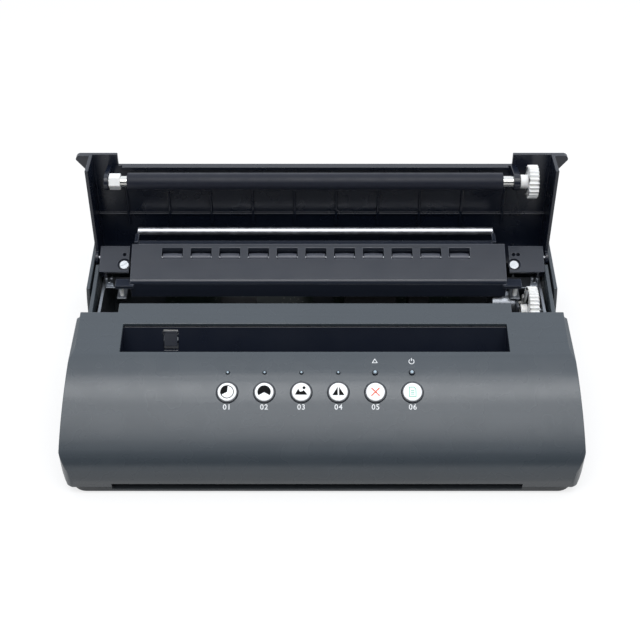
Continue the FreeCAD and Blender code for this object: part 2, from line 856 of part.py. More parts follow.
def rail(side, sign):
    """Inner wall that the lid's side closes onto, on the pan's rim, with webs out to the casing's wall."""
    def span(low, high):
        return (low, high) if sign > 0 else (minus(high), minus(low))

    def rail_z(y):
        return f"({shut_edge_z(y)} - rail_gap)"

    corners = [
        ("rail_front_y", "parting_z"),
        ("rail_rear_y", "parting_z"),
        ("rail_rear_y", rail_z("rail_rear_y")),
        ("rail_front_y", rail_z("rail_front_y")),
    ]
    wall = prism(f"rail_wall_{side}", "side", corners, *span("rail_half", "rail_out"))
    web_top = f"{rail_z('rail_front_y')} - skin"
    into_wall = span("rail_half", "belly_half")
    front_y = ("rail_front_y", "notch_y")
    front_web = block(f"rail_front_web_{side}", into_wall, front_y, ("parting_z", web_top))
    rear_y = ("rail_rear_y - rail_web_run", "rail_rear_y")
    rear_web = block(f"rail_rear_web_{side}", into_wall, rear_y, ("rail_web_z", web_top))
    return fuse(f"rail_{side}", wall, front_web, rear_web)


def base_pan():
    """Shallow floor tray with board posts; its front rim drops at the document exit."""
    half = "floor_half"
    outer = plan_corners(half, "pan_inset", "body_depth - pan_inset", "corner_arc")
    tray = prism("pan_outer", "top", outer, "foot_z", "parting_z")
    rear = "body_depth - pan_inset - pan_rim"
    inner = plan_corners(f"({half} - pan_rim)", "(pan_inset + pan_rim)", rear, "(corner_arc - pan_rim)")
    hollow = prism("pan_inner", "top", inner, "pan_top_z", "parting_z + over")
    mouth_x = ("exit_x - exit_half", "exit_x + exit_half")
    mouth = block("pan_mouth", mouth_x, ("-over", "pan_inset + pan_rim + over"), ("pan_top_z", "board_z"))
    pieces = [cut("pan_shell", tray, hollow, mouth)]
    for row, (low, high) in enumerate((("board_left", "board_right"), ("supply_left", "supply_right"))):
        for corner, (x, y) in enumerate(board_posts(low, high)):
            name = f"pan_post_{row}_{corner}"
            pieces.append(rod(name, "z", "post_radius", (f"pan_top_z - floor_skin / 2", "board_z"), (x, y)))
    keep("base_pan", fuse("pan", *pieces), CASING)


def board_posts(low, high):
    xs = (f"{low} + board_inset", f"{high} - board_inset")
    ys = ("board_front_y + board_inset", "board_rear_y - board_inset")
    return [(x, y) for x in xs for y in ys]


def rubber_feet():
    """Four round pads under the base pan."""
    feet = []
    for x in ("foot_inset - floor_half", "floor_half - foot_inset"):
        for y in ("foot_inset", "body_depth - foot_inset"):
            feet.append(rod(f"foot_{len(feet)}", "z", "foot_radius", ("0", "foot_z"), (x, y)))
    keep("rubber_feet", group("foot_set", *feet), CASING)


def base_screws():
    """Four screws that close the base pan, heads below the floor skin."""
    screws = []
    for x in ("-base_screw_x", "base_screw_x"):
        for y in ("base_screw_front", "body_depth - base_screw_back"):
            name = f"base_screw_{len(screws)}"
            head = rod(name + "_head", "z", "base_screw_radius", ("foot_z - base_screw_z", "foot_z"), (x, y))
            screws.append(head)
    keep("base_screws", group("base_screw_set", *screws), CASING)


def keys():
    """Six sprung keys in black bezels, their switches and the board that carries them."""
    bezels = []
    switches = []
    for index in range(KEYS):
        seat = skin_frame("key_turn", key_place(index))
        ring = rod(f"bezel_disc_{index}", "z", "bezel_radius", ("-skin", "bezel_rise"), ("0", "0"))
        bore = rod(f"bezel_bore_{index}", "z", "key_radius + key_gap", ("-over", "over"), ("0", "0"))
        bezels.append(turned(f"bezel_{index}", cut(f"bezel_ring_{index}", ring, bore), **in_casing(seat)))
        cap = rod(f"cap_disc_{index}", "z", "key_radius", ("-key_depth", "key_rise"), ("0", "0"))
        flange_z = ("-key_depth - key_flange", "-key_depth")
        flange = rod(f"cap_flange_{index}", "z", "bezel_radius - seat_gap", flange_z, ("0", "0"))
        stem_z = ("-panel_z + switch_z + key_flange * 1.8", "-key_depth")
        stem = rod(f"cap_stem_{index}", "z", "key_stem", stem_z, ("0", "0"))
        keep(f"key_cap_{index + 1}", fuse(f"cap_{index}", cap, flange, stem), seat)
        side = ("-switch_side / 2", "switch_side / 2")
        body = block(f"switch_body_{index}", side, side, ("-panel_z", "-panel_z + switch_z"))
        switches.append(turned(f"switch_{index}", body, **in_casing(seat)))
    keep("key_bezels", group("bezel_set", *bezels), CASING)
    keep("key_switches", group("switch_set", *switches), CASING)
    x = ("-panel_half", "panel_half")
    board = block("key_board_slab", x, ("-panel_front", "panel_rear"), ("-panel_z - board_skin", "-panel_z"))
    keep("key_board", board, skin_frame("key_turn", "key_x"))


def lamps():
    """Status lamps above the keys; the last two are the larger error and power lamps."""
    small = []
    large = []
    for index in range(KEYS):
        alert = index >= KEYS - ALERTS
        radius = "alert_radius" if alert else "lamp_radius"
        foot = "-panel_z + lamp_radius + seat_gap / 2"
        stem = rod(f"lamp_stem_{index}", "z", radius, (foot, "lamp_rise"), ("0", "0"))
        dome = doc.addObject("Part::Sphere", f"lamp_dome_{index}")
        bind(dome, {"Radius": radius, "Placement.Base.z": "lamp_rise"})
        seat = in_casing(skin_frame("lamp_turn", key_place(index)))
        lamp = turned(f"lamp_{index}", fuse(f"lamp_body_{index}", stem, dome), **seat)
        (large if alert else small).append(lamp)
    keep("status_lamps", group("status_lamp_set", *small), CASING)
    keep("alert_lamps", group("alert_lamp_set", *large), CASING)




def entry_chute():
    """Funnel below the top slot that leads a page down to the feed roller, with a window for the flag."""
    front = [
        ("slot_front_y - chute_skin", "chute_front_z"),
        ("slot_front_y", "chute_front_z"),
        ("nip_y", "nip_z"),
        ("nip_y - chute_skin", "nip_z"),
    ]
    rear = [
        ("slot_rear_y", "chute_rear_z"),
        (f"slot_rear_y + chute_skin", "chute_rear_z"),
        ("nip_y + nip_run + chute_skin", "nip_z"),
        ("nip_y + nip_run", "nip_z"),
    ]
    cheek = [front[0], rear[1], rear[2], front[3]]
    half = "(slot_half + seat_gap / 2)"
    across = (f"path_x - {half}", f"path_x + {half}")
    pieces = [prism("chute_front", "side", front, *across), prism("chute_rear", "side", rear, *across)]
    pieces.append(prism("chute_left", "side", cheek, f"{across[0]} - chute_skin", across[0]))
    pieces.append(prism("chute_right", "side", cheek, across[1], f"{across[1]} + chute_skin"))
    window_x = ("flag_x - flag_half - seat_gap", "flag_x + flag_half + seat_gap")
    window_y = (f"flag_y - flag_reach", f"flag_y + over")
    window_z = (f"flag_z - flag_reach - flag_pin", f"flag_z + flag_pin * 2")
    window = block("flag_window", window_x, window_y, window_z)
    bore = flag_pin("flag_bore", "fit_gap")
    keep("entry_chute", cut("chute", fuse("chute_walls", *pieces), window, bore), CASING)


def flag_pin(name, gap):
    reach = "(flag_half + seat_gap + flag_pin)"
    span = (f"flag_x - {reach}", f"flag_x + {reach}")
    return rod(name, "x", f"flag_pin + {gap}", span, ("flag_y", "flag_z"))


def page_flag():
    """Little flap in the chute that a page pushes back; it hangs from a pin in the window's sides."""
    half = ("-flag_half", "flag_half")
    skin = ("-flag_skin / 2", "flag_skin / 2")
    flap = block("flag_flap", half, skin, ("-flag_reach", "0"))
    place = {"x": "flag_x", "y": "flag_y", "z": "flag_z"}
    leaning = turned("flag_flap_lean", flap, **place, turn=f"360 - atan(chute_slope) / 1 deg - flag_lean")
    keep("page_flag", fuse("flag", leaning, flag_pin("flag_pivot", "0")), CASING)


def feed_roller():
    """Rubber roller that draws the page past the scanner, on a steel shaft between the side plates."""
    centre = ("feed_y", "feed_z")
    shaft_span = (minus("plate_out"), "plate_out")
    shaft = rod("feed_shaft_bar", "x", "shaft_radius", shaft_span, centre)
    keep("feed_shaft", shaft, CASING)
    span = ("path_x - feed_half", "path_x + feed_half")
    sleeve = rod("feed_sleeve", "x", "feed_radius", span, centre)
    bore = rod("feed_sleeve_bore", "x", "shaft_radius", span, centre)
    keep("feed_rubber", cut("feed_tube", sleeve, bore), CASING)
    wheel = toothed("feed_wheel", "feed_teeth", "feed_gear_x", "feed_gear_x + feed_gear_run", "shaft_radius")
    keep("feed_gear", wheel, frame_at(y="feed_y", z="feed_z", turn="360 - feed_mesh_turn"))


def scanner():
    """Contact image sensor on two feet, its glass facing the feed roller."""
    front = "(feed_y + feed_radius + seat_gap + glass_skin)"
    rear = f"({front} + scan_run)"
    across = ("path_x - scan_half", "path_x + scan_half")
    bar = block("scan_bar", across, (front, rear), ("scan_z", "scan_top_z"))
    feet = []
    for side, inner, outer in (("left", "path_x - scan_half", "1"), ("right", "path_x + scan_half", "-1")):
        near = f"{inner} + {outer} * chute_skin * 2"
        span = (inner, near) if side == "left" else (near, inner)
        feet.append(block(f"scan_foot_{side}", span, (front, rear), ("pan_top_z", "scan_z")))
    keep("scanner_bar", fuse("scanner", bar, *feet), CASING)
    glass_z = ("feed_z - glass_z / 2", "feed_z + glass_z / 2")
    keep("scanner_glass", block("scan_glass", across, (f"{front} - glass_skin", front), glass_z), CASING)


def side_plates():
    """Two steel plates that stand in the base and carry the rollers, gears and hinge pins."""
    eye_z = "hinge_z + hinge_pin + rail_gap * 2"
    corners = [
        ("plate_front_y", "pan_top_z"),
        ("plate_rear_y", "pan_top_z"),
        ("plate_rear_y", "hinge_z"),
        ("hinge_y + hinge_ear", eye_z),
        ("hinge_y", eye_z),
        ("hinge_y - hinge_ear", f"{eye_z} - hinge_ear * tan(guide_slope)"),
        ("rail_rear_y", "plate_top_z"),
        ("plate_front_y + over * 2", "plate_top_z"),
        ("plate_front_y", "feed_z"),
    ]
    holes = [("feed_y", "feed_z", "shaft_radius + fit_gap"), ("hinge_y", "hinge_z", "hinge_pin")]
    left = prism("plate_left", "side", corners, minus("plate_out"), "-plate_half", holes)
    keep("side_plate_left", left, CASING)
    holes.append(("drive_y", "drive_z", "axle_radius"))
    right = prism("plate_right", "side", corners, "plate_half", "plate_out", holes)
    axle_x = ("drive_gear_x - hub_radius", "plate_out")
    axle = rod("drive_axle", "x", "axle_radius", axle_x, ("drive_y", "drive_z"))
    keep("side_plate_right", fuse("plate_and_axle", right, axle), CASING)


def hinge_pins():
    """A pin each side, through the side plate and out into the lid's ear."""
    centre = ("hinge_y", "hinge_z")
    left = rod("hinge_pin_left", "x", "hinge_pin", ("-lid_half", "-plate_half"), centre)
    right = rod("hinge_pin_right", "x", "hinge_pin", ("plate_half", "lid_half"), centre)
    keep("hinge_pins", group("hinge_pin_pair", left, right), CASING)


def cross_beam():
    """Flat steel bar between the side plates; the stencil guide and its studs stand on it."""
    top = "(plate_top_z - over / 4)"
    low = f"{top} - beam_skin"
    pieces = [block("beam_bar", ("-plate_half", "plate_half"), ("beam_front_y", "beam_rear_y"), (low, top))]
    lip_y = ("beam_rear_y - beam_skin", "beam_rear_y")
    lip_x = ("guide_x - guide_half", "guide_x + guide_half")
    pieces.append(block("beam_lip", lip_x, lip_y, (low, f"{top} + beam_skin * 2")))
    for side, centre in stud_places():
        span = (f"{centre} - beam_tab_run / 2", f"{centre} + beam_tab_run / 2")
        tab_y = ("beam_front_y - beam_tab_lead", "beam_front_y + beam_skin")
        pieces.append(block(f"beam_tab_{side}", span, tab_y, (low, top)))
    keep("cross_beam", fuse("beam", *pieces, *wire_hooks(low)), CASING)


def stud_places():
    return (("left", "(guide_x - guide_half - stud_reach)"), ("right", "(guide_x + guide_half + stud_reach)"))


def guide_corners(inset):
    """Top of the guide: nose and slope, set in by a skin."""
    round_r = f"(guide_nose_arc - {inset})"
    centre_y = "(guide_nose_y + guide_nose_arc)"
    centre_z = f"({guide_z(centre_y)} - guide_nose_arc / cos(guide_slope))"
    drop = f"{inset} / cos(guide_slope)"
    rear = f"(guide_rear_y - {inset})"
    crest = (f"{centre_y} - {round_r} * sin(guide_slope)", f"{centre_z} + {round_r} * cos(guide_slope)")
    return [
        (f"guide_nose_y + {inset}", centre_z),
        (*crest, round_r, -1),
        (rear, f"{guide_z(rear)} - {drop}"),
    ]


def stencil_guide():
    """Sloping paper guide with windows over the idler, a rounded nose, end cheeks and stud arms."""
    foot = "(plate_top_z - over / 4)"
    outer = guide_corners("0")
    inner = guide_corners("guide_skin")
    flange_z = f"({guide_z('guide_rear_y')} - guide_flange)"
    sheet_loop = [
        ("guide_nose_y", foot),
        *outer,
        ("guide_rear_y", flange_z),
        ("guide_rear_y - guide_skin", flange_z),
        inner[2],
        inner[1][:2],
        (*inner[0], inner[1][2], 1),
        ("guide_nose_y + guide_skin", foot),
    ]
    across = ("guide_x - guide_half", "guide_x + guide_half")
    pieces = [prism("guide_sheet", "side", sheet_loop, *across)]
    cheek = [*sheet_loop[:5], ("beam_rear_y - beam_skin * 2", foot)]
    bore = [("idler_y", "idler_z", "idler_axle + fit_gap")]
    left_x = (across[0], f"{across[0]} + guide_skin")
    right_x = (f"{across[1]} - guide_skin", across[1])
    pieces.append(prism("guide_cheek_left", "side", cheek, *left_x, bore))
    pieces.append(prism("guide_cheek_right", "side", cheek, *right_x, bore))
    arm_y = ("arm_front_y", "arm_front_y + arm_run")
    arm_z = ("guide_nose_z - guide_nose_arc - arm_skin / 2", "guide_nose_z - guide_nose_arc + arm_skin / 2")
    pieces.append(block("arm_left", (f"{across[0]} - arm_reach", left_x[1]), arm_y, arm_z))
    pieces.append(block("arm_right", (right_x[0], f"{across[1]} + arm_reach"), arm_y, arm_z))
    windows = []
    window_y = ("idler_y - window_front", "idler_y + window_rear")
    for index in range(WINDOWS):
        x = window_place(index)
        span = (f"{x} - window_run / 2", f"{x} + window_run / 2")
        window_z = ("idler_z - idler_radius", "headroom_z")
        window = block(f"window_{index}", span, window_y, window_z)
        windows.append(window)
    keep("stencil_guide", cut("guide", fuse("guide_whole", *pieces), *windows), CASING)
    studs = []
    for side, centre in stud_places():
        stud_z = (foot, arm_z[0])
        studs.append(rod(f"stud_{side}", "z", "stud_radius", stud_z, (centre, "arm_front_y + arm_run / 2")))
    keep("guide_studs", group("guide_stud_pair", *studs), CASING)


def window_place(index):
    return f"(window_x + ({index} - {(WINDOWS - 1) / 2}) * window_step)"


def idler():
    """Free shaft below the guide, with a roller at each window."""
    centre = ("idler_y", "idler_z")
    axle = rod("idler_bar", "x", "idler_axle", ("guide_x - guide_half", "guide_x + guide_half"), centre)
    keep("idler_shaft", axle, CASING)
    rollers = []
    for index in range(WINDOWS):
        x = window_place(index)
        span = (f"{x} - idler_run / 2", f"{x} + idler_run / 2")
        roller = rod(f"idler_roller_{index}", "x", "idler_radius", span, centre)
        bore = rod(f"idler_bore_{index}", "x", "idler_axle", span, centre)
        rollers.append(cut(f"idler_wheel_{index}", roller, bore))
    keep("idler_rollers", group("idler_roller_set", *rollers), CASING)


def decks():
    """Sloping cover plates either side of the guide, each with a sunk screw and pilot holes."""
    spans = (("left", "-deck_outer", "deck_left"), ("right", "deck_right", "deck_outer"))
    screws = []
    for side, low, high in spans:
        tilt = {"y": "deck_front_y", "z": "deck_z", "turn": "guide_slope"}
        slab = block(f"deck_slab_{side}", (low, high), ("0", "deck_run"), ("-guide_skin", "0"))
        screw_x = f"screw_{side}"
        top = ("-screw_recess_z", "over")
        sink = rod(f"deck_sink_{side}", "z", "screw_recess", top, (screw_x, "screw_back"))
        hole_z = ("-over", "over")
        hole = rod(f"deck_hole_{side}", "z", "screw_shank + fit_gap", hole_z, (screw_x, "screw_back"))
        pilots = [rod(f"deck_pilot_{side}", "z", "pilot_radius", hole_z, (screw_x, "pilot_back"))]
        if side == "right":
            twin = f"{screw_x} + pilot_radius * 2.6"
            pilots.append(rod("deck_pilot_twin", "z", "pilot_radius", hole_z, (twin, "pilot_back")))
        plate = turned(f"deck_tilt_{side}", cut(f"deck_plate_{side}", slab, sink, hole, *pilots), **tilt)
        leg_y = ("deck_front_y + deck_leg_back", "deck_front_y + deck_leg_back + guide_skin")
        leg_x = (low, "-plate_half") if side == "left" else ("plate_half", high)
        leg = block(f"deck_leg_{side}", leg_x, leg_y, ("plate_top_z", "deck_z"))
        keep(f"deck_{side}", fuse(f"deck_whole_{side}", plate, leg), CASING)
        head_z = ("-screw_recess_z", "-screw_recess_z + screw_head_z")
        head = rod(f"deck_screw_head_{side}", "z", "screw_head", head_z, (screw_x, "screw_back"))
        shank_z = ("-screw_recess_z - screw_shank_z", "-screw_recess_z")
        shank = rod(f"deck_screw_shank_{side}", "z", "screw_shank", shank_z, (screw_x, "screw_back"))
        screws.append(turned(f"deck_screw_{side}", fuse(f"deck_screw_body_{side}", head, shank), **tilt))
    keep("deck_screws", group("deck_screw_pair", *screws), CASING)


def rod_and_bar():
    """Grey bar behind the guide, with end cradles for the polished paper rod."""
    across = ("path_x - bar_half", "path_x + bar_half")
    bar_top = "bar_z + bar_skin"
    pieces = [block("bar_body", across, ("bar_front_y", "bar_front_y + bar_run"), ("bar_z", bar_top))]
    cradle_y = ("bar_front_y", "rod_y + cradle_lap")
    for side, low, high in (("left", across[0], f"{across[0]} + cradle_skin"),
                            ("right", f"{across[1]} - cradle_skin", across[1])):
        pieces.append(block(f"cradle_{side}", (low, high), cradle_y, ("bar_z", "rod_z")))
    centre = ("rod_y", "rod_z")
    nest = rod("cradle_nest", "x", "rod_radius", across, centre)
    keep("rear_bar", cut("bar", fuse("bar_whole", *pieces), nest), CASING)
    polished = rod("paper_rod_bar", "x", "rod_radius", ("path_x - rod_half", "path_x + rod_half"), centre)
    keep("paper_rod", polished, CASING)


def lid_catches():
    """Flat spring catches on the outer faces of the rails."""
    y = ("catch_front_y", "catch_front_y + catch_run")
    far = f"(rail_out + catch_skin)"
    left = block("catch_left", (minus(far), minus("rail_out")), y, ("parting_z", "plate_top_z"))
    right = block("catch_right", ("rail_out", far), y, ("parting_z", "plate_top_z"))
    keep("lid_catches", group("catch_pair", left, right), CASING)


def wire_hooks(low):
    """Forked tabs that stand up at the ends of the cross beam."""
    hooks = []
    y = ("hook_front_y", "hook_front_y + hook_run")
    for side, centre in (("left", "-hook_x"), ("right", "hook_x")):
        x = (f"{centre} - hook_half", f"{centre} + hook_half")
        yoke = block(f"hook_block_{side}", x, y, (low, "plate_top_z + hook_rise"))
        gap_x = (f"{centre} - hook_half / 3", f"{centre} + hook_half / 3")
        gap = block(f"hook_gap_{side}", gap_x, y, ("plate_top_z + hook_rise / 3", "headroom_z"))
        hooks.append(cut(f"hook_{side}", yoke, gap))
    return hooks


def lid_shell():
    """Moulded lid: top plate rolled over at the hinge, side walls with pin ears, wings, rim lip and ribs."""
    inner = "(lid_height - lid_skin)"
    end = "lid_tail_turn"
    plate = [
        ("-lid_reach", inner),
        ("0", inner),
        (f"{inner} * cos({end})", f"{inner} * sin({end})", inner, -1),
        (f"lid_height * cos({end})", f"lid_height * sin({end})"),
        ("0", "lid_height", "lid_height", 1),
        ("-lid_reach", "lid_height"),
    ]
    sheet_part = prism("lid_plate", "side", plate, "-lid_half", "lid_half")
    bite_x = ("path_x - rim_half", "path_x + rim_half")
    lip_x = ("path_x - rim_half + lid_wall", "path_x + rim_half - lid_wall")
    bite_y = ("-lid_reach - over", "-lid_reach + rim_back")
    bite = block("lid_bite", bite_x, bite_y, ("0", "headroom_z"))
    pieces = [cut("lid_bitten", sheet_part, bite)]
    lip_y = ("-lid_reach + rim_back", "-lid_reach + rim_back + lid_wall")
    pieces.append(block("lid_lip", lip_x, lip_y, ("lid_height - rim_drop", f"{inner} + lid_skin / 2")))
    flank = [
        ("-lid_reach", "lid_edge"),
        ("sqrt(lid_height^2 - lid_edge^2)", "lid_edge"),
        ("0", "lid_height", "lid_height", 1),
        ("-lid_reach", "lid_height"),
    ]
    for side, sign in (("left", -1), ("right", 1)):
        near = "(lid_half - lid_wall)"
        span = (near, "lid_half") if sign > 0 else ("-lid_half", minus(near))
        wall = prism(f"lid_wall_{side}", "side", flank, *span)
        ear = rod(f"lid_ear_{side}", "x", "hinge_ear", span, ("0", "0"))
        hole = rod(f"lid_pin_hole_{side}", "x", "hinge_pin + fit_gap", span, ("0", "0"))
        pieces.append(cut(f"lid_flank_{side}", fuse(f"lid_flank_whole_{side}", wall, ear), hole))
        pieces.append(lid_wing(side, sign))
    for index in range(RIBS):
        x = f"(path_x + ({index} - {(RIBS - 1) / 2}) * rib_step)"
        span = (f"{x} - rib_skin / 2", f"{x} + rib_skin / 2")
        z = (f"{inner} - rib_rise", f"{inner} + lid_skin / 2")
        pieces.append(block(f"lid_rib_{index}", span, ("-rib_far", "-rib_near"), z))
    cross_x = ("-lid_half + lid_wall", "lid_half - lid_wall")
    cross_y = ("-cross_rib - rib_skin / 2", "-cross_rib + rib_skin / 2")
    cross_z = (f"{inner} - rib_rise", f"{inner} + lid_skin / 2")
    pieces.append(block("lid_cross_rib", cross_x, cross_y, cross_z))
    keep("lid_shell", fuse("lid", *pieces), LID)


def lid_wing(side, sign):
    """Finger tab that flares from the lid's front corner."""
    def across(x):
        return x if sign > 0 else minus(x)

    tip_x = "(wing_half - wing_arc)"
    corners = [
        (across("lid_half - lid_wall / 2"), "-lid_reach"),
        (across(tip_x), "-lid_reach"),
        (across("wing_half"), "-lid_reach + wing_arc", "wing_arc", sign),
        (across("lid_half"), "-lid_reach + wing_run"),
        (across("lid_half - lid_wall / 2"), "-lid_reach + wing_run"),
    ]
    return prism(f"wing_{side}", "top", corners, "lid_height - wing_drop", "lid_height")


def platen_brackets():
    """Tongues inside the lid that hold the platen's bearings, and the bearings themselves."""
    inner = "(lid_height - lid_skin)"
    centre = ("-platen_reach", "platen_up")
    hex_right = "(hex_left + hex_run)"
    spans = {
        "left": ("hex_left - seat_gap - bracket_skin", "hex_left - seat_gap"),
        "right": ("right_bracket", "right_bracket + bracket_skin * 1.5"),
    }
    brackets = []
    for side, span in spans.items():
        corners = [
            ("-platen_reach + bracket_round", inner),
            ("-platen_reach - bracket_round / 2", inner),
            ("-platen_reach - bracket_round", "platen_up"),
            ("-platen_reach", "platen_up - bracket_round", "bracket_round", 1),
            ("-platen_reach + bracket_round", "platen_up", "bracket_round", 1),
        ]
        bore = [(*centre, "journal_radius + fit_gap")]
        brackets.append(prism(f"bracket_{side}", "side", corners, *span, bore))
    keep("platen_brackets", group("bracket_pair", *brackets), LID)
    corner_r = "hex_face / cos(30)"
    sides = []
    for turn in range(30, 390, 60):
        sides.append((f"-platen_reach + {corner_r} * cos({turn})", f"platen_up + {corner_r} * sin({turn})"))
    bore = [(*centre, "journal_radius + fit_gap")]
    keep("hex_bushing", prism("bushing", "side", sides, "hex_left", hex_right, bore), LID)


def platen():
    """Rubber platen on its shaft, with the gear that meets the drive gear when the lid shuts."""
    centre = ("-platen_reach", "platen_up")
    gear_end = "(platen_gear_x + platen_gear_run)"
    shaft = rod("platen_bar", "x", "journal_radius", ("hex_left - bracket_skin", gear_end), centre)
    keep("platen_shaft", shaft, LID)
    span = ("path_x - platen_half", "path_x + platen_half")
    tube = rod("platen_sleeve", "x", "platen_radius", span, centre)
    bore = rod("platen_sleeve_bore", "x", "journal_radius", span, centre)
    keep("platen_rubber", cut("platen_tube", tube, bore), LID)
    wheel = toothed("platen_wheel", "platen_teeth", "platen_gear_x", gear_end, "journal_radius")
    hub_x = ("right_bracket + bracket_skin * 1.5 + seat_gap", "platen_gear_x")
    hub = rod("platen_hub", "x", "hub_radius + gear_module / 2", hub_x, ("0", "0"))
    hub_bore = rod("platen_hub_bore", "x", "journal_radius", hub_x, ("0", "0"))
    lean = "(270 - lid_lean)"
    y = f"hinge_y + (-platen_reach * cos({lean}) - platen_up * sin({lean}))"
    z = f"hinge_z + (-platen_reach * sin({lean}) + platen_up * cos({lean}))"
    turn = f"{lean} - top_tilt - mesh_turn"
    gear = fuse("platen_gear_whole", wheel, cut("platen_hub_ring", hub, hub_bore))
    keep("platen_gear", gear, frame_at(y=y, z=z, turn=turn))


def drive_train():
    """Motor, pinion, drive gear and axle on the right; the feed motor and pinion on the left."""
    end = "drive_gear_x + drive_gear_run"
    hub_x = ("drive_gear_x - hub_radius", "drive_gear_x")
    wheel = toothed("drive_wheel", "drive_teeth", "drive_gear_x", end, "axle_radius + fit_gap")
    hub = rod("drive_hub", "x", "hub_radius", hub_x, ("0", "0"))
    hub_bore = rod("drive_hub_bore", "x", "axle_radius + fit_gap", hub_x, ("0", "0"))
    gear = fuse("drive_gear_whole", wheel, cut("drive_hub_ring", hub, hub_bore))
    half_tooth = "180 / drive_teeth"
    keep("drive_gear", gear, frame_at(y="drive_y", z="drive_z", turn=f"180 - mesh_turn + {half_tooth}"))
    inner = "(drive_gear_x - hub_radius - seat_gap * 2 - bracket_plate)"
    centre = ("motor_y", "motor_z")
    plates = [motor("platen", inner, "1", centre)]
    half_tooth = "180 / motor_teeth"
    axle_x = (f"{inner} - motor_run / 2", end)
    pinion = motor_pinion("platen", ("drive_gear_x", end), axle_x)
    keep("platen_pinion", pinion, frame_at(y="motor_y", z="motor_z", turn=f"180 - motor_turn + {half_tooth}"))
    face = "(feed_gear_x + feed_gear_run + seat_gap + bracket_plate)"
    centre = ("feed_motor_y", "feed_motor_z")
    plate = motor("feed", face, "-1", centre)
    plate_x = (f"{face} - bracket_plate", face)
    relief = rod("feed_shaft_relief", "x", "shaft_radius + seat_gap * 2", plate_x, ("feed_y", "feed_z"))
    plates.append(cut("feed_mount_relieved", plate, relief))
    keep("motor_plates", group("motor_plate_pair", *plates), CASING)
    feed_end = "feed_gear_x + feed_gear_run"
    pinion = motor_pinion("feed", ("feed_gear_x", feed_end), ("feed_gear_x", f"{face} + motor_run / 2"))
    turn = f"180 - feed_mesh_turn + {half_tooth}"
    keep("feed_pinion", pinion, frame_at(y="feed_motor_y", z="feed_motor_z", turn=turn))


def motor(name, face, side, centre):
    """Flat stepper motor with a bearing for its shaft; returns the upright plate on its face."""
    span = (f"{face} - motor_run", face) if side == "1" else (face, f"{face} + motor_run")
    plate = (face, f"{face} + bracket_plate") if side == "1" else (f"{face} - bracket_plate", face)
    can = rod(f"{name}_can", "x", "motor_radius", span, centre)
    bearing = rod(f"{name}_bearing", "x", "motor_axle + fit_gap", span, centre)
    keep(f"{name}_motor", cut(f"{name}_motor_can", can, bearing), CASING)
    y = (f"{centre[0]} - motor_radius - over", f"{centre[0]} + motor_radius + over")
    top = f"{centre[1]} + motor_radius - over / 4"
    upright = block(f"{name}_mount_slab", plate, y, ("pan_top_z", top))
    hole = rod(f"{name}_mount_hole", "x", "motor_axle * 2", plate, centre)
    return cut(f"{name}_mount", upright, hole)


def motor_pinion(name, teeth_x, axle_x):
    """Small gear pressed on a motor's shaft."""
    wheel = toothed(f"{name}_pinion_wheel", "motor_teeth", *teeth_x, "motor_axle")
    axle = rod(f"{name}_motor_axle", "x", "motor_axle", axle_x, ("0", "0"))
    return fuse(f"{name}_pinion_and_axle", wheel, axle)


def print_head():
    """Ceramic heater strip on a finned aluminium sink, four springs and the steel beam below."""
    top = f"(shut_z - platen_radius - head_gap)"
    low = f"({top} - head_skin)"
    strip_x = ("path_x - scan_half", "path_x + scan_half")
    strip = block("heater_strip", strip_x, ("shut_y - head_run / 2", "shut_y + head_run / 2"), (low, top))
    keep("thermal_head", strip, CASING)
    sink_x = ("path_x - sink_half", "path_x + sink_half")
    front = "(shut_y - sink_lead)"
    rear = f"{front} + sink_run"
    sink = block("sink_block", sink_x, (front, rear), ("sink_z", low))
    slots = []
    slot_x = ("-belly_half", "belly_half")
    for index in range(FINS):
        y = f"{front} + sink_run * {(index + 1) / (FINS + 1)}"
        slot_y = (f"{y} - fin_run / 2", f"{y} + fin_run / 2")
        slots.append(block(f"fin_slot_{index}", slot_x, slot_y, ("0", "sink_z + fin_drop")))
    spring_places = [f"(path_x + sink_half * {share})" for share in SPRING_PLACE_SHARES]
    keep("head_sink", cut("sink", sink, *slots), CASING)
    beam_top = "head_beam_z + head_beam_skin"
    beam_front = "(shut_y - head_beam_lead)"
    beam_y = (beam_front, f"{beam_front} + head_beam_run")
    beam_x = ("-plate_half", "plate_half")
    bar = block("head_beam_bar", beam_x, beam_y, ("head_beam_z", beam_top))
    lip_y = (beam_front, f"{beam_front} + head_beam_skin")
    lip = block("head_beam_lip", beam_x, lip_y, ("head_beam_z - over * 2", "head_beam_z"))
    keep("head_beam", fuse("head_beam_whole", bar, lip), CASING)
    centre_y = f"({beam_front} + head_beam_run / 2)"
    springs = []
    for index, x in enumerate(spring_places):
        coil = rod(f"spring_coil_{index}", "z", "spring_radius", (beam_top, "sink_z"), (x, centre_y))
        core = rod(f"spring_core_{index}", "z", "spring_radius / 2", (beam_top, "sink_z"), (x, centre_y))
        springs.append(cut(f"spring_{index}", coil, core))
    keep("head_springs", group("head_spring_set", *springs), CASING)


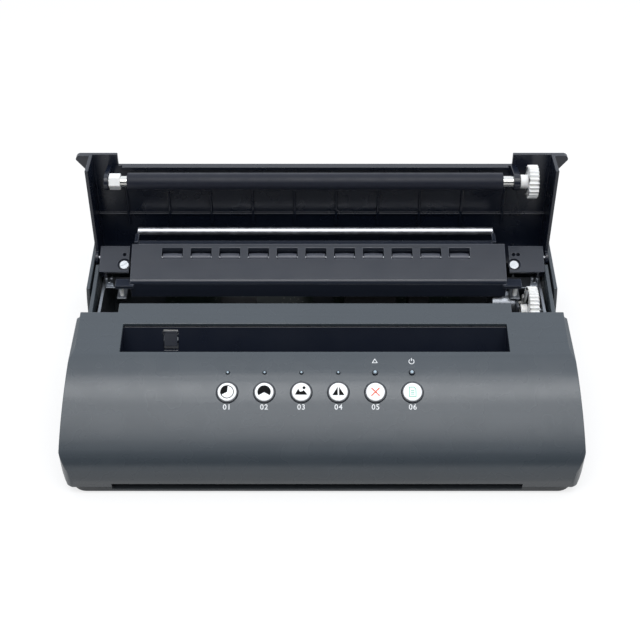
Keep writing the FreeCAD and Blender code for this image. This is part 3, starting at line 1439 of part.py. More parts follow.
def rear_panel():
    """Back wall with the power inlet, rocker switch and vent slots."""
    corners = barrel_corners("0", "parting_z", "headroom_z")
    mass = prism("panel_mass", "front", corners, "rear_in_y", "body_depth")
    tools = [block("panel_crop", ("-belly_half", "belly_half"), (f"rear_in_y - over", "body_depth + over"),
                   ("rear_top_z", "headroom_z + over"))]
    through = (f"rear_in_y - over", "body_depth + over")
    inlet_x = ("inlet_x - inlet_half", "inlet_x + inlet_half")
    tools.append(block("inlet_cut", inlet_x, through, ("inlet_z", "inlet_z + inlet_rise")))
    switch_x = ("switch_x - switch_half", "switch_x + switch_half")
    tools.append(block("switch_cut", switch_x, through, ("switch_low_z", "switch_low_z + switch_rise")))
    for index in range(VENTS):
        x = f"(vent_x + ({index} - {(VENTS - 1) / 2}) * vent_step)"
        span = (f"{x} - vent_run / 2", f"{x} + vent_run / 2")
        tools.append(block(f"vent_{index}", span, through, ("vent_low_z", "vent_top_z")))
    keep("rear_panel", cut("panel", mass, *tools), CASING)


def power_entry():
    """Mains inlet with three blades, and the rocker switch beside it."""
    x = ("inlet_x - inlet_half", "inlet_x + inlet_half")
    z = ("inlet_z", "inlet_z + inlet_rise")
    shell = block("inlet_shell", x, ("body_depth - inlet_run", "body_depth + fit_gap"), z)
    mouth_x = ("inlet_x - inlet_half + inlet_mouth", "inlet_x + inlet_half - inlet_mouth")
    mouth_z = ("inlet_z + inlet_mouth", "inlet_z + inlet_rise - inlet_mouth")
    mouth_y = ("body_depth - inlet_run + inlet_mouth", "body_depth + over")
    mouth = block("inlet_mouth_cut", mouth_x, mouth_y, mouth_z)
    blades = []
    middle = "(inlet_z + inlet_rise / 2)"
    for step, lift in ((-1, 0), (0, 1), (1, 0)):
        blade_x = f"(inlet_x + {step} * inlet_half / 2)"
        blade_z = f"({middle} + {lift} * inlet_mouth)"
        span_x = (f"{blade_x} - blade_half", f"{blade_x} + blade_half")
        span_z = (f"{blade_z} - blade_half * 2.7", f"{blade_z} + blade_half * 2.7")
        span_y = ("body_depth - inlet_run + blade_half", "body_depth - inlet_mouth")
        blades.append(block(f"inlet_blade_{step + 1}", span_x, span_y, span_z))
    keep("power_inlet", fuse("inlet", cut("inlet_cup", shell, mouth), *blades), CASING)
    x = ("switch_x - switch_half", "switch_x + switch_half")
    z = ("switch_low_z", "switch_low_z + switch_rise")
    body = block("rocker_case", x, ("body_depth - switch_run", "body_depth + fit_gap"), z)
    wide = "(switch_half - inlet_mouth / 2)"
    tall = "(switch_rise / 2 - inlet_mouth / 2)"
    middle = "(switch_low_z + switch_rise / 2)"
    well_x = (f"switch_x - {wide}", f"switch_x + {wide}")
    well_z = (f"{middle} - {tall}", f"{middle} + {tall}")
    well_y = ("body_depth - switch_run + inlet_mouth", "body_depth + over")
    well = block("rocker_well", well_x, well_y, well_z)
    pin_y = "(body_depth - inlet_mouth)"
    pin_x = (f"switch_x - {wide} - over / 8", f"switch_x + {wide} + over / 8")
    seat = rod("rocker_seat", "x", "axle_radius / 2 + fit_gap", pin_x, (pin_y, middle))
    keep("switch_case", cut("rocker_frame", body, well, seat), CASING)
    paddle = [
        ("-rocker_rise", f"-({tall} - rocker_gap * 2)"),
        ("rocker_rise + inlet_mouth", f"-({tall} - rocker_gap * 2)"),
        ("rocker_rise", "0"),
        ("rocker_rise + inlet_mouth", f"{tall} - rocker_gap * 2"),
        ("-rocker_rise", f"{tall} - rocker_gap * 2"),
    ]
    reach = f"({wide} - rocker_gap)"
    paddle_body = prism("rocker_paddle", "side", paddle, minus(reach), reach)
    axle_reach = f"({wide} + over / 8)"
    axle = rod("rocker_axle", "x", "axle_radius / 2", (minus(axle_reach), axle_reach), ("0", "0"))
    whole = fuse("rocker_whole", paddle_body, axle)
    keep("switch_rocker", whole, frame_at(x="switch_x", y=pin_y, z=middle, turn="rocker_turn"))


def boards():
    """Main board and supply board on the base pan's posts, each with its larger parts."""
    top = "(board_z + board_skin)"
    run = "(board_rear_y - board_front_y)"
    main_row = ("main", "board_left", "board_right", CHIP_SHARES)
    supply_row = ("supply", "supply_left", "supply_right", SUPPLY_SHARES)
    chips = []
    for name, low, high, shares in (main_row, supply_row):
        slab = block(f"{name}_slab", (low, high), ("board_front_y", "board_rear_y"), ("board_z", top))
        keep(f"{name}_board", slab, CASING)
        width = f"({high} - ({low}))"
        for west, east, south, north, tall in shares:
            x = (f"{low} + {width} * {west}", f"{low} + {width} * {east}")
            y = (f"board_front_y + {run} * {south}", f"board_front_y + {run} * {north}")
            chips.append(block(f"board_part_{len(chips)}", x, y, (top, f"{top} + part_rise * {tall}")))
    keep("board_parts", group("board_part_set", *chips), CASING)


def build():
    fill_sheet()
    main_casing()
    base_pan()
    rubber_feet()
    base_screws()
    keys()
    lamps()
    entry_chute()
    page_flag()
    feed_roller()
    scanner()
    side_plates()
    hinge_pins()
    cross_beam()
    stencil_guide()
    idler()
    decks()
    rod_and_bar()
    lid_catches()
    lid_shell()
    platen_brackets()
    platen()
    drive_train()
    print_head()
    rear_panel()
    power_entry()
    boards()
    doc.recompute()


def check():
    """Stops with a list of every object that failed and every node with a bad shape."""
    faults = [item.Name for item in doc.Objects if {"Invalid", "Error"} & set(item.State)]
    for node in nodes:
        shape = node.Shape
        if shape.isNull() or not shape.isValid() or not shape.Solids:
            faults.append(f"{node.Label}: bad shape")
    if faults:
        raise RuntimeError(f"faults: {faults}")


def export():
    os.makedirs("parts", exist_ok=True)
    for node in nodes:
        node.Shape.exportStep(os.path.join("parts", f"{node.Label}.step"))
        box = node.Shape.BoundBox
        spans = ((box.XMin, box.XMax), (box.YMin, box.YMax), (box.ZMin, box.ZMax))
        print(node.Label, len(node.Shape.Solids), " ".join(f"{low:.2f}..{high:.2f}" for low, high in spans))
    print(len(nodes), "nodes")


build()
check()
export()
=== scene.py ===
"""A desk copier for stencil paper, dressed: each piece's finish, and small forms its solids leave plain."""
import json
import logging
import math
from collections.abc import Callable, Iterable, Sequence
from dataclasses import dataclass, replace as with_changes
from enum import Enum

import bmesh
import bpy
from mathutils import Matrix, Vector

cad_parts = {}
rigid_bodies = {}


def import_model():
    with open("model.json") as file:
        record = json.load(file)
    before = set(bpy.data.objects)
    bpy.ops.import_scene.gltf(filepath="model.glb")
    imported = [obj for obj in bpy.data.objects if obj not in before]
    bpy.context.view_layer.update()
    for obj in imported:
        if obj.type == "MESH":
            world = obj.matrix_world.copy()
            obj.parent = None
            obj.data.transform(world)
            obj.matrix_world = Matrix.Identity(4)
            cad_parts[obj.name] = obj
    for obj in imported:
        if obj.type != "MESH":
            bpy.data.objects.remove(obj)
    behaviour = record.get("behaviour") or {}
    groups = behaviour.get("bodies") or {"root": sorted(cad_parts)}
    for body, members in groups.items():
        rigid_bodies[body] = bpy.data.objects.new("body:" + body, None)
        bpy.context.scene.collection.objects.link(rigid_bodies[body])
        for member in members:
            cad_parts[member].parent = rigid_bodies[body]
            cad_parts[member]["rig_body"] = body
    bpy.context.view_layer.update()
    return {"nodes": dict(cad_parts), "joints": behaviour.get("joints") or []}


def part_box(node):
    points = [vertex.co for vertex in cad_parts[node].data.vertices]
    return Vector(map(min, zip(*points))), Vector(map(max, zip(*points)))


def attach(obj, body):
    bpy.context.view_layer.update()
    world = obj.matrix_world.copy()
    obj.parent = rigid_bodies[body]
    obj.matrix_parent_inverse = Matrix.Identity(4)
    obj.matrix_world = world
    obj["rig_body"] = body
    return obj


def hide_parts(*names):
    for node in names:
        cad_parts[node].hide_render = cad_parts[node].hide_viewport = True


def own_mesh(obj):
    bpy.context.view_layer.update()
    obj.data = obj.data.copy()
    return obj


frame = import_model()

LOG = logging.getLogger("copier")

MM = 0.001
WELD = 2e-6
RIGHT = Vector((1.0, 0.0, 0.0))
REAR = Vector((0.0, 1.0, 0.0))
UP = Vector((0.0, 0.0, 1.0))

# Edges that turn further than the first are sharp; faces that turn less than the second are one.
SHARP_DEG = 32.0
FLAT_DEG = 0.5
# How strongly large faces keep their own shading beside their roundings.
FACE_WEIGHT = 80
# Most of a cloudy field lies between these levels.
CLOUD_ENDS = (0.3, 0.7)
# The painted edge highlight starts where the softened and the true normal part by the first cosine, and is
# full at the second.
EDGE_HIGHLIGHT_ENDS = (0.995, 0.88)
EDGE_HIGHLIGHT_SAMPLES = 4

Colour = tuple[float, float, float, float]
Outline = list[tuple[float, float]]
Tree = bpy.types.NodeTree
Socket = bpy.types.NodeSocket
Draft = bmesh.types.BMesh


class Lie(Enum):
    """How the marks of a pattern lie: how many times longer they are than wide, along x, y and z."""

    EVEN = (1.0, 1.0, 1.0)
    ALONG_X = (45.0, 1.0, 1.0)
    ALONG_Y = (1.0, 45.0, 1.0)
    RINGS = (1.0, 45.0, 45.0)


def hex_to_linear(code: str, share: float = 1.0) -> Colour:
    """Turn an sRGB hex colour into the linear colour that shaders take.

    Args:
        code: the colour as six hex digits after a hash mark.
        share: how much of its light the colour keeps.

    Returns:
        Linear red, green and blue, and full opacity.
    """
    levels = [int(code[place:place + 2], 16) / 255 for place in (1, 3, 5)]
    linear = [level / 12.92 if level <= 0.04045 else ((level + 0.055) / 1.055) ** 2.4 for level in levels]
    return (*(min(level * share, 1.0) for level in linear), 1.0)


def add_node(tree: Tree, kind: str, inputs: dict | None = None, **settings: object) -> bpy.types.Node:
    """Add one node to a tree, set it up and link what feeds it.

    Args:
        tree: the tree that gets the node.
        kind: the node's type name, without the ShaderNode in front.
        inputs: a value or an output socket for each input, by name or place.
        settings: the node's own properties.

    Returns:
        The new node.
    """
    node = tree.nodes.new("ShaderNode" + kind)
    for name, value in settings.items():
        setattr(node, name, value)
    for key, value in (inputs or {}).items():
        if isinstance(value, Socket):
            tree.links.new(value, node.inputs[key])
        else:
            node.inputs[key].default_value = value
    return node


def bare_tree(owner: bpy.types.Material | bpy.types.World) -> Tree:
    """Empty the node tree of a material or a world.

    Args:
        owner: the material or world.

    Returns:
        Its tree.
    """
    owner.use_nodes = True
    owner.node_tree.nodes.clear()
    return owner.node_tree


def blend(tree: Tree, share: float | Socket, first: Colour | Socket, second: Colour | Socket) -> Socket:
    """Mix a share of the second colour into the first, on a mix node's colour sockets, and return it."""
    return add_node(tree, "Mix", {0: share, 6: first, 7: second}, data_type="RGBA").outputs[2]


def compute(tree: Tree, operation: str, *values: float | Socket) -> Socket:
    """Work one value out from others with a math node, and return it."""
    return add_node(tree, "Math", dict(enumerate(values)), operation=operation).outputs[0]


def dot(tree: Tree, way: Socket, other: Socket | tuple[float, float, float]) -> Socket:
    """Return how far one direction points along another."""
    return add_node(tree, "VectorMath", {0: way, 1: other}, operation="DOT_PRODUCT").outputs["Value"]


def remap(tree: Tree, value: Socket, ends: tuple[float, float], low: float, high: float) -> Socket:
    """Stretch a value from between two ends to between two others.

    Args:
        tree: the tree that gets the node.
        value: the value.
        ends: what the value lies between.
        low: what the first end becomes.
        high: what the second end becomes.

    Returns:
        The stretched value.
    """
    stretched = add_node(tree, "MapRange", {
        "Value": value, "From Min": ends[0], "From Max": ends[1], "To Min": low, "To Max": high})
    return stretched.outputs["Result"]


def seen_by(tree: Tree, *rays: str) -> Socket:
    """Tell some kinds of ray from the others.

    Args:
        tree: the tree that gets the nodes.
        rays: the kinds, such as Camera.

    Returns:
        A value that is 1 for these rays and 0 for the others.
    """
    path = add_node(tree, "LightPath")
    seen = path.outputs[f"Is {rays[0]} Ray"]
    for ray in rays[1:]:
        seen = compute(tree, "MAXIMUM", seen, path.outputs[f"Is {ray} Ray"])
    return seen


def pattern(tree: Tree, size_mm: float, lie: Lie = Lie.EVEN, detail: float = 2.0,
            start: float = 0.0) -> Socket:
    """Make a cloudy field whose marks have a real size.

    Args:
        tree: the material's tree.
        size_mm: how wide one mark is.
        lie: how the marks lie.
        detail: how many finer fields are laid over it.
        start: where in the field the piece starts, so that two fields differ.

    Returns:
        The field, which wanders about a half.
    """
    place = add_node(tree, "TexCoord")
    scale = [1.0 / (size_mm * MM * length) for length in lie.value]
    mapped = add_node(tree, "Mapping", {
        "Vector": place.outputs["Object"], "Scale": scale, "Location": (start, start, start)})
    cloud = add_node(tree, "TexNoise", {"Vector": mapped.outputs["Vector"], "Scale": 1.0, "Detail": detail})
    return cloud.outputs["Fac"]


def wander(tree: Tree, low: float, high: float, cloud: Socket) -> Socket:
    """Spread a cloudy field between two values, and return the spread field."""
    return remap(tree, cloud, CLOUD_ENDS, low, high)


def mottle(tree: Tree, colour: str, share: float, cloud: Socket) -> Socket:
    """Let a colour drift a little darker and lighter, and return it."""
    drift = wander(tree, 0.0, 1.0, cloud)
    return blend(tree, drift, hex_to_linear(colour, 1 - share), hex_to_linear(colour, 1 + share))


def painted_edge_highlight(tree: Tree, colour: Socket, edge: str, share: float, width_mm: float) -> Socket:
    """Paint a highlight along the edges by lightening a colour there.

    Args:
        tree: the material's tree.
        colour: the colour away from the edges.
        edge: the colour of the painted edge highlight at its strongest.
        share: how much of the edge's colour shows.
        width_mm: how far the painted highlight reaches from an edge.

    Returns:
        The colour with its painted edge highlights.
    """
    softened = add_node(tree, "Bevel", {"Radius": width_mm * MM}, samples=EDGE_HIGHLIGHT_SAMPLES)
    shape = add_node(tree, "NewGeometry")
    facing = dot(tree, softened.outputs["Normal"], shape.outputs["Normal"])
    return blend(tree, remap(tree, facing, EDGE_HIGHLIGHT_ENDS, 0.0, share), colour, hex_to_linear(edge))


def relief(tree: Tree, depth_mm: float, cloud: Socket, under: Socket | None = None) -> Socket:
    """Raise a surface by a cloudy field.

    Args:
        tree: the material's tree.
        depth_mm: how high its hills are over its dales.
        cloud: the field.
        under: the normal of another relief that it lies on, if there is one.

    Returns:
        The surface's normal.
    """
    inputs = {"Strength": 1.0, "Distance": depth_mm * MM, "Height": cloud}
    if under is not None:
        inputs["Normal"] = under
    return add_node(tree, "Bump", inputs).outputs["Normal"]


@dataclass(frozen=True)
class Finish:
    """What a surface is made of and how it was made."""

    name: str
    colour: str
    roughness: float

    def inputs(self, tree: Tree) -> dict:
        """Make what feeds the surface's shader.

        Args:
            tree: the material's tree.

        Returns:
            A value or a socket for each of the shader's inputs, by name.
        """
        raise NotImplementedError

    def sheen(self, tree: Tree, low: float, high: float, cloud: Socket) -> Socket:
        """Let the roughness wander between two shares of itself, and return it."""
        return wander(tree, self.roughness * low, self.roughness * high, cloud)

    def material(self) -> bpy.types.Material:
        """Return the finish's material, made on first use."""
        found = bpy.data.materials.get(self.name)
        if found:
            return found
        made = bpy.data.materials.new(self.name)
        tree = bare_tree(made)
        shader = add_node(tree, "BsdfPrincipled", self.inputs(tree))
        add_node(tree, "OutputMaterial", {"Surface": shader.outputs[0]})
        made.diffuse_color = hex_to_linear(self.colour)
        return made


@dataclass(frozen=True)
class MouldedPlastic(Finish):
    """ABS from a spark-eroded mould: a satin that breaks reflections up, with a painted highlight along the
    edges.
    """

    grain_mm: float = 0.9
    grain_depth_mm: float = 0.012
    tint_share: float = 0.03
    tint_mm: float = 40.0
    gloss_mm: float = 15.0
    flow_share: float = 0.0
    flow_tint: float = 0.35
    flow_mm: float = 1.6
    # The painted edge highlight: its colour, how much of it shows and how far it reaches.
    edge: str = "#8B9094"
    edge_share: float = 0.25
    edge_mm: float = 0.5

    def inputs(self, tree: Tree) -> dict:
        """Make the satin, its flow streaks and its grain, drawn coarser than the real 0.35 mm to show."""
        tone = mottle(tree, self.colour, self.tint_share, pattern(tree, self.tint_mm))
        if self.flow_share:
            streaks = pattern(tree, self.flow_mm, Lie.ALONG_X, detail=3.0, start=7.0)
            tone = blend(tree, self.flow_share, tone, mottle(tree, self.colour, self.flow_tint, streaks))
        return {
            "Base Color": painted_edge_highlight(tree, tone, self.edge, self.edge_share, self.edge_mm),
            "Roughness": self.sheen(tree, 0.9, 1.12, pattern(tree, self.gloss_mm, start=3.0)),
            "IOR": 1.53, "Normal": relief(tree, self.grain_depth_mm, pattern(tree, self.grain_mm))}


@dataclass(frozen=True)
class MouldedAcetal(Finish):
    """Acetal: waxy and letting a little light in, smooth from a polished mould."""

    tint_mm: float = 9.0
    gloss_mm: float = 3.0
    ripple_mm: float = 2.4
    ripple_depth_mm: float = 0.01
    seep_mm: float = 1.2

    def inputs(self, tree: Tree) -> dict:
        """Make the waxy surface, with the faint ripple of a thick moulding."""
        return {
            "Base Color": mottle(tree, self.colour, 0.03, pattern(tree, self.tint_mm)),
            "Roughness": self.sheen(tree, 0.85, 1.15, pattern(tree, self.gloss_mm, start=2.0)),
            "IOR": 1.48, "Normal": relief(tree, self.ripple_depth_mm, pattern(tree, self.ripple_mm)),
            "Subsurface Weight": 0.18, "Subsurface Radius": (1.0, 0.9, 0.8),
            "Subsurface Scale": self.seep_mm * MM}


@dataclass(frozen=True)
class GroundRubber(Finish):
    """Rubber: a soft sheen, fine grit and rings that a wheel or a mould has left round it."""

    ring_mm: float = 0.8
    ring_depth_mm: float = 0.012
    grit_mm: float = 0.7
    grit_depth_mm: float = 0.02
    gloss_mm: float = 6.0

    def inputs(self, tree: Tree) -> dict:
        """Make the rubber, its rings drawn at 0.8 mm where the wheel's are 0.2 mm, to show at all."""
        rings = pattern(tree, self.ring_mm, Lie.RINGS)
        ground = relief(tree, self.ring_depth_mm, rings)
        return {
            "Base Color": mottle(tree, self.colour, 0.12, rings),
            "Roughness": self.sheen(tree, 0.9, 1.1, pattern(tree, self.gloss_mm)), "IOR": 1.43,
            "Normal": relief(tree, self.grit_depth_mm, pattern(tree, self.grit_mm, start=5.0), ground)}


@dataclass(frozen=True)
class WorkedMetal(Finish):
    """A metal with the lines its last tool left: rolled sheet, a turned shaft or an extruded bar."""

    lie: Lie = Lie.EVEN
    line_mm: float = 0.5
    line_depth_mm: float = 0.004
    tint_share: float = 0.06
    tint_mm: float = 7.0

    def inputs(self, tree: Tree) -> dict:
        """Make the metal, its tool lines drawn a few times wider than real so that they catch the light."""
        lines = pattern(tree, self.line_mm, self.lie, start=4.0)
        return {
            "Base Color": mottle(tree, self.colour, self.tint_share, pattern(tree, self.tint_mm)),
            "Metallic": 1.0, "Roughness": self.sheen(tree, 0.8, 1.2, lines),
            "Normal": relief(tree, self.line_depth_mm, lines)}


@dataclass(frozen=True)
class FiredCeramic(Finish):
    """Alumina with a glassy glaze: pale and smooth, with a dark line where the heater's row of dots lies."""

    line_y: float = 0.0
    line_half: float = 0.0008
    line_colour: str = "#3A2B22"

    def inputs(self, tree: Tree) -> dict:
        """Make the glazed plate and paint the heater's line across it."""
        place = add_node(tree, "TexCoord")
        parts = add_node(tree, "SeparateXYZ", {0: place.outputs["Object"]})
        away = compute(tree, "ABSOLUTE", compute(tree, "SUBTRACT", parts.outputs["Y"], self.line_y))
        near = compute(tree, "LESS_THAN", away, self.line_half)
        glaze = mottle(tree, self.colour, 0.04, pattern(tree, 5.0))
        return {
            "Base Color": blend(tree, near, glaze, hex_to_linear(self.line_colour)), "IOR": 1.6,
            "Roughness": self.roughness, "Normal": relief(tree, 0.004, pattern(tree, 1.2))}


@dataclass(frozen=True)
class BoardLaminate(Finish):
    """Epoxy glass board under solder mask: glossy dark green with copper tracks that show through it."""

    cell_mm: float = 2.4
    pad_cell_mm: float = 3.2
    pad_share: float = 0.16
    pad_colour: str = "#6E706C"

    def inputs(self, tree: Tree) -> dict:
        """Make the mask over tracks, four to a cell and so 0.6 mm apart, with tinned pads."""
        place = add_node(tree, "TexCoord")
        tracks = add_node(tree, "TexBrick", {
            "Vector": place.outputs["Object"], "Scale": 1 / (self.cell_mm * MM), "Mortar Size": 0.09,
            "Brick Width": 6.5, "Color1": hex_to_linear(self.colour),
            "Color2": hex_to_linear(self.colour, 0.85), "Mortar": hex_to_linear(self.colour, 1.9)})
        pads = add_node(tree, "TexVoronoi", {
            "Vector": place.outputs["Object"], "Scale": 1 / (self.pad_cell_mm * MM)})
        tinned = compute(tree, "LESS_THAN", pads.outputs["Distance"], self.pad_share)
        return {
            "Base Color": blend(tree, tinned, tracks.outputs["Color"], hex_to_linear(self.pad_colour)),
            "Metallic": tinned, "Roughness": self.roughness,
            "Normal": relief(tree, 0.03, tracks.outputs["Fac"])}


@dataclass(frozen=True)
class ClearResin(Finish):
    """Clear epoxy or glass: bright at the rim, with what lies behind it dimmed and tinted."""

    clear: float = 0.6
    index: float = 1.5

    def inputs(self, tree: Tree) -> dict:
        """Make the clear body, with the faint waves of a poured or drawn surface."""
        return {
            "Base Color": mottle(tree, self.colour, 0.05, pattern(tree, 1.5)), "Roughness": self.roughness,
            "IOR": self.index, "Transmission Weight": self.clear,
            "Normal": relief(tree, 0.003, pattern(tree, 2.0, start=1.0))}


@dataclass(frozen=True)
class PadPrint(Finish):
    """Ink laid on with a rubber pad: matt, with a film that thins in specks."""

    def inputs(self, tree: Tree) -> dict:
        """Make the ink film, speckled at 0.3 mm as a dry pad leaves it."""
        return {
            "Base Color": mottle(tree, self.colour, 0.05, pattern(tree, 0.3)), "Roughness": self.roughness,
            "IOR": 1.45, "Specular IOR Level": 0.12,
            "Normal": relief(tree, 0.004, pattern(tree, 0.5, start=6.0))}


# Every moulded plastic here gets a painted highlight along its edges, of its edge colour and share.
# The casing: grey ABS, satin, so the room shows in it as broad soft bands.
CASING = MouldedPlastic("abs_grey_satin_moulded", "#3E454B", 0.27, flow_share=0.10, edge_share=0.1)
# The lid: black ABS with the same grain, nearly blue where it turns from the light, with a faint painted
# highlight along its edges.
LID = MouldedPlastic("abs_black_satin_moulded", "#111724", 0.28, edge="#4C525C", edge_share=0.12)
# The pan: the casing's plastic, darker as painted shade for the copier's dark inside, and duller.
PAN = MouldedPlastic("abs_grey_moulded_painted_shade", "#2C3034", 0.5)
# Inner black parts: plain glossy mould, so their ridges show as thin lines, helped by a faint painted
# highlight along their edges.
INNER = MouldedPlastic("abs_black_smooth_moulded", "#0F1522", 0.3, grain_depth_mm=0.004, edge="#4A4F57",
                       edge_share=0.08)
# The guide and decks: slate ABS, smoother than the casing, because paper slides over it, with a painted
# highlight along their edges for the light on the guide's nose.
GUIDE = MouldedPlastic("abs_slate_satin_moulded", "#232833", 0.24, grain_depth_mm=0.008, flow_share=0.14,
                       edge="#8F949E", edge_share=0.2, edge_mm=0.9)
# The keys: white ABS, polished by fingers, with a painted highlight along their edges.
KEY = MouldedPlastic("abs_white_gloss_moulded", "#F1F3F4", 0.24, grain_depth_mm=0.003, tint_share=0.01,
                     edge="#FFFFFF")
# The gears, the bushing and the guide's studs: white acetal, so their shadows are soft.
ACETAL = MouldedAcetal("acetal_white_moulded", "#F4F4F2", 0.36)
# The platen's shaft: stainless steel, turned and polished: bright above and dark below.
TURNED_STEEL = WorkedMetal("steel_stainless_turned", "#DDDCD8", 0.2, Lie.RINGS, 0.5, 0.002, 0.02)
# The platen, the feed roller and the deck screws' washers: black rubber, ground true.
RUBBER = GroundRubber("silicone_black_ground", "#0A1020", 0.5)
# The feet: black rubber as it comes from the mould.
FOOT = GroundRubber("nitrile_black_moulded", "#1A1B1D", 0.6, ring_mm=2.0)
# The idlers: grey acetal with a soft sheen.
IDLER = MouldedAcetal("acetal_grey_moulded", "#50535C", 0.32)
# Rod, pins, springs and shafts: ground steel, lit in long bands, its hair rings drawn 4 mm wide and faint.
GROUND_STEEL = WorkedMetal("steel_ground_polished", "#E4E6EC", 0.36, Lie.RINGS, 4.0, 0.0003, 0.02)
# Plates, beams and motor cans: cold-rolled sheet under bright zinc, cloudy, brushed lengthwise.
ZINC_STEEL = WorkedMetal("steel_zinc_plated_rolled", "#9A9EA4", 0.34, Lie.ALONG_Y, 0.5, 0.004)
# The fastenings: zinc-plated steel, tumbled, so their shine is even.
ZINC_SCREW = WorkedMetal("steel_zinc_plated_tumbled", "#C4C7CA", 0.34, Lie.EVEN, 0.5, 0.003, 0.03)
# The heat sink: extruded aluminium with die lines.
ALUMINIUM = WorkedMetal("aluminium_extruded", "#B9BBBE", 0.36, Lie.ALONG_X, 0.4, 0.006)
# The print head: glazed alumina, pale and glassy.
CERAMIC = FiredCeramic("alumina_glazed", "#E4E1DA", 0.18)
# The sensor's window: float glass.
GLASS = ClearResin("glass_float", "#DCE6E4", 0.03, clear=0.9, index=1.52)
# The lamps: clear epoxy, cast, a little blue.
LAMP = ClearResin("epoxy_clear_cast", "#B9CEDB", 0.12, clear=0.2)
# Bodies of chips and capacitors: black epoxy, moulded.
CHIP = MouldedPlastic("epoxy_black_moulded", "#1B1C1E", 0.55, tint_mm=8.0)
# The boards: epoxy glass, with tracks as thin lines and pads as dull dots, the mask's green darkened nearly
# to black as painted shade inside the casing.
BOARD = BoardLaminate("epoxy_glass_solder_masked", "#0B1A14", 0.35)
# The signs and numbers: matt inks, so that they stay flat beside the glossy keys.
BLACK_INK = PadPrint("ink_black_pad_printed", "#050607", 0.6)
WHITE_INK = PadPrint("ink_white_pad_printed", "#E8EAEB", 0.5)
RED_INK = PadPrint("ink_orange_red_pad_printed", "#E0512B", 0.45)
GREEN_INK = PadPrint("ink_pale_green_pad_printed", "#7CC4AB", 0.45)


@dataclass(frozen=True)
class Seat:
    """A place on the object with its own directions, and the room that a piece takes there."""

    origin: Vector
    across: Vector
    up: Vector
    out: Vector
    height: float = 0.0
    radius: float = 0.0

    def at(self, x: float, y: float, z: float = 0.0) -> Vector:
        """Return the point that lies this many millimetres across, up and out of the seat."""
        return self.origin + (self.across * x + self.up * y + self.out * z) * MM


def solids_of(node: str) -> list[list[Vector]]:
    """Part a node into its separate solids.

    Args:
        node: the node's name.

    Returns:
        The corners of each solid, from left to right.
    """
    mesh = bmesh.new()
    mesh.from_mesh(frame["nodes"][node].data)
    bmesh.ops.remove_doubles(mesh, verts=mesh.verts, dist=WELD)
    left = set(mesh.verts)
    solids = []
    while left:
        reached = [left.pop()]
        for corner in reached:
            fresh = left & {edge.other_vert(corner) for edge in corner.link_edges}
            left -= fresh
            reached += fresh
        solids.append([corner.co.copy() for corner in reached])
    mesh.free()
    return sorted(solids, key=lambda corners: min((corner.x, corner.y) for corner in corners))


def seats_of(node: str, out: Vector = UP) -> list[Seat]:
    """Find where the turned solids of a node stand.

    Args:
        node: the node's name.
        out: the direction of their axis: to the right, or square to it.

    Returns:
        A seat for each solid, at its lowest point on its axis, with its height and radius in millimetres.
    """
    across = REAR if out == RIGHT else RIGHT
    up = out.cross(across).normalized()
    seats = []
    for corners in solids_of(node):
        sides, rises, heights = ([corner.dot(way) for corner in corners] for way in (across, up, out))
        middle = across * (min(sides) + max(sides)) / 2 + up * (min(rises) + max(rises)) / 2
        height = (max(heights) - min(heights)) / MM
        radius = (max(sides) - min(sides)) / 2 / MM
        seats.append(Seat(middle + out * min(heights), across, up, out, height, radius))
    return seats


def rounded(corners: Sequence[tuple[float, float, float]], steps: int = 5) -> Outline:
    """Round an outline's corners.

    Args:
        corners: each corner's place along and across, and its rounding.
        steps: how many points a rounding gets, less one.

    Returns:
        The outline's points.
    """
    outline = []
    for place, (along, across, radius) in enumerate(corners):
        here = Vector((along, across))
        if radius == 0 or place in (0, len(corners) - 1):
            outline.append((along, across))
            continue
        back = (Vector(corners[place - 1][:2]) - here).normalized()
        onward = (Vector(corners[place + 1][:2]) - here).normalized()
        half = back.angle(onward) / 2
        centre = here + (back + onward).normalized() * radius / math.sin(half)
        first = here + back * radius / math.tan(half) - centre
        last = here + onward * radius / math.tan(half) - centre
        turn = math.atan2(first.x * last.y - first.y * last.x, first.dot(last))
        points = [centre + Matrix.Rotation(turn * step / steps, 2) @ first for step in range(steps + 1)]
        outline += [tuple(point) for point in points]
    return outline


def arc(radius: float, start: float, end: float, steps: int = 24,
        centre: tuple[float, float] = (0, 0)) -> Outline:
    """Return points along an arc, its angles in degrees from the right and upwards."""
    angles = [math.radians(start + (end - start) * step / steps) for step in range(steps + 1)]
    return [(centre[0] + radius * math.cos(angle), centre[1] + radius * math.sin(angle)) for angle in angles]


def ends_alike(seat: Seat, half: Sequence[tuple[float, float, float]]) -> Outline:
    """Return the rounded outline of a solid whose two ends are alike, from the corners of its lower end."""
    other = [(seat.height - along, across, radius) for along, across, radius in reversed(half)]
    return rounded([*half, *other])


def spindle(seat: Seat, edge: float, rounding: float = 0.0) -> Outline:
    """Return the outline of a shaft with chamfered ends, whose chamfers are rounded into its side."""
    return ends_alike(seat, [(0, 0, 0), (0, seat.radius - edge, 0), (edge, seat.radius, rounding)])


def skin(mesh: Draft, rings: list[list[bmesh.types.BMVert]], closed: bool = False) -> None:
    """Lay faces between rings of corners.

    Args:
        mesh: the mesh that gets the faces.
        rings: rings of equally many corners, or of one where the form ends in a point.
        closed: whether the last ring joins the first.
    """
    follow = rings[1:] + rings[:1] if closed else rings[1:]
    for low, high in zip(rings, follow):
        sides = max(len(low), len(high))
        for side in range(sides):
            beside = (side + 1) % sides
            if len(low) == 1:
                mesh.faces.new((low[0], high[beside], high[side]))
            elif len(high) == 1:
                mesh.faces.new((low[side], low[beside], high[0]))
            else:
                mesh.faces.new((low[side], low[beside], high[beside], high[side]))


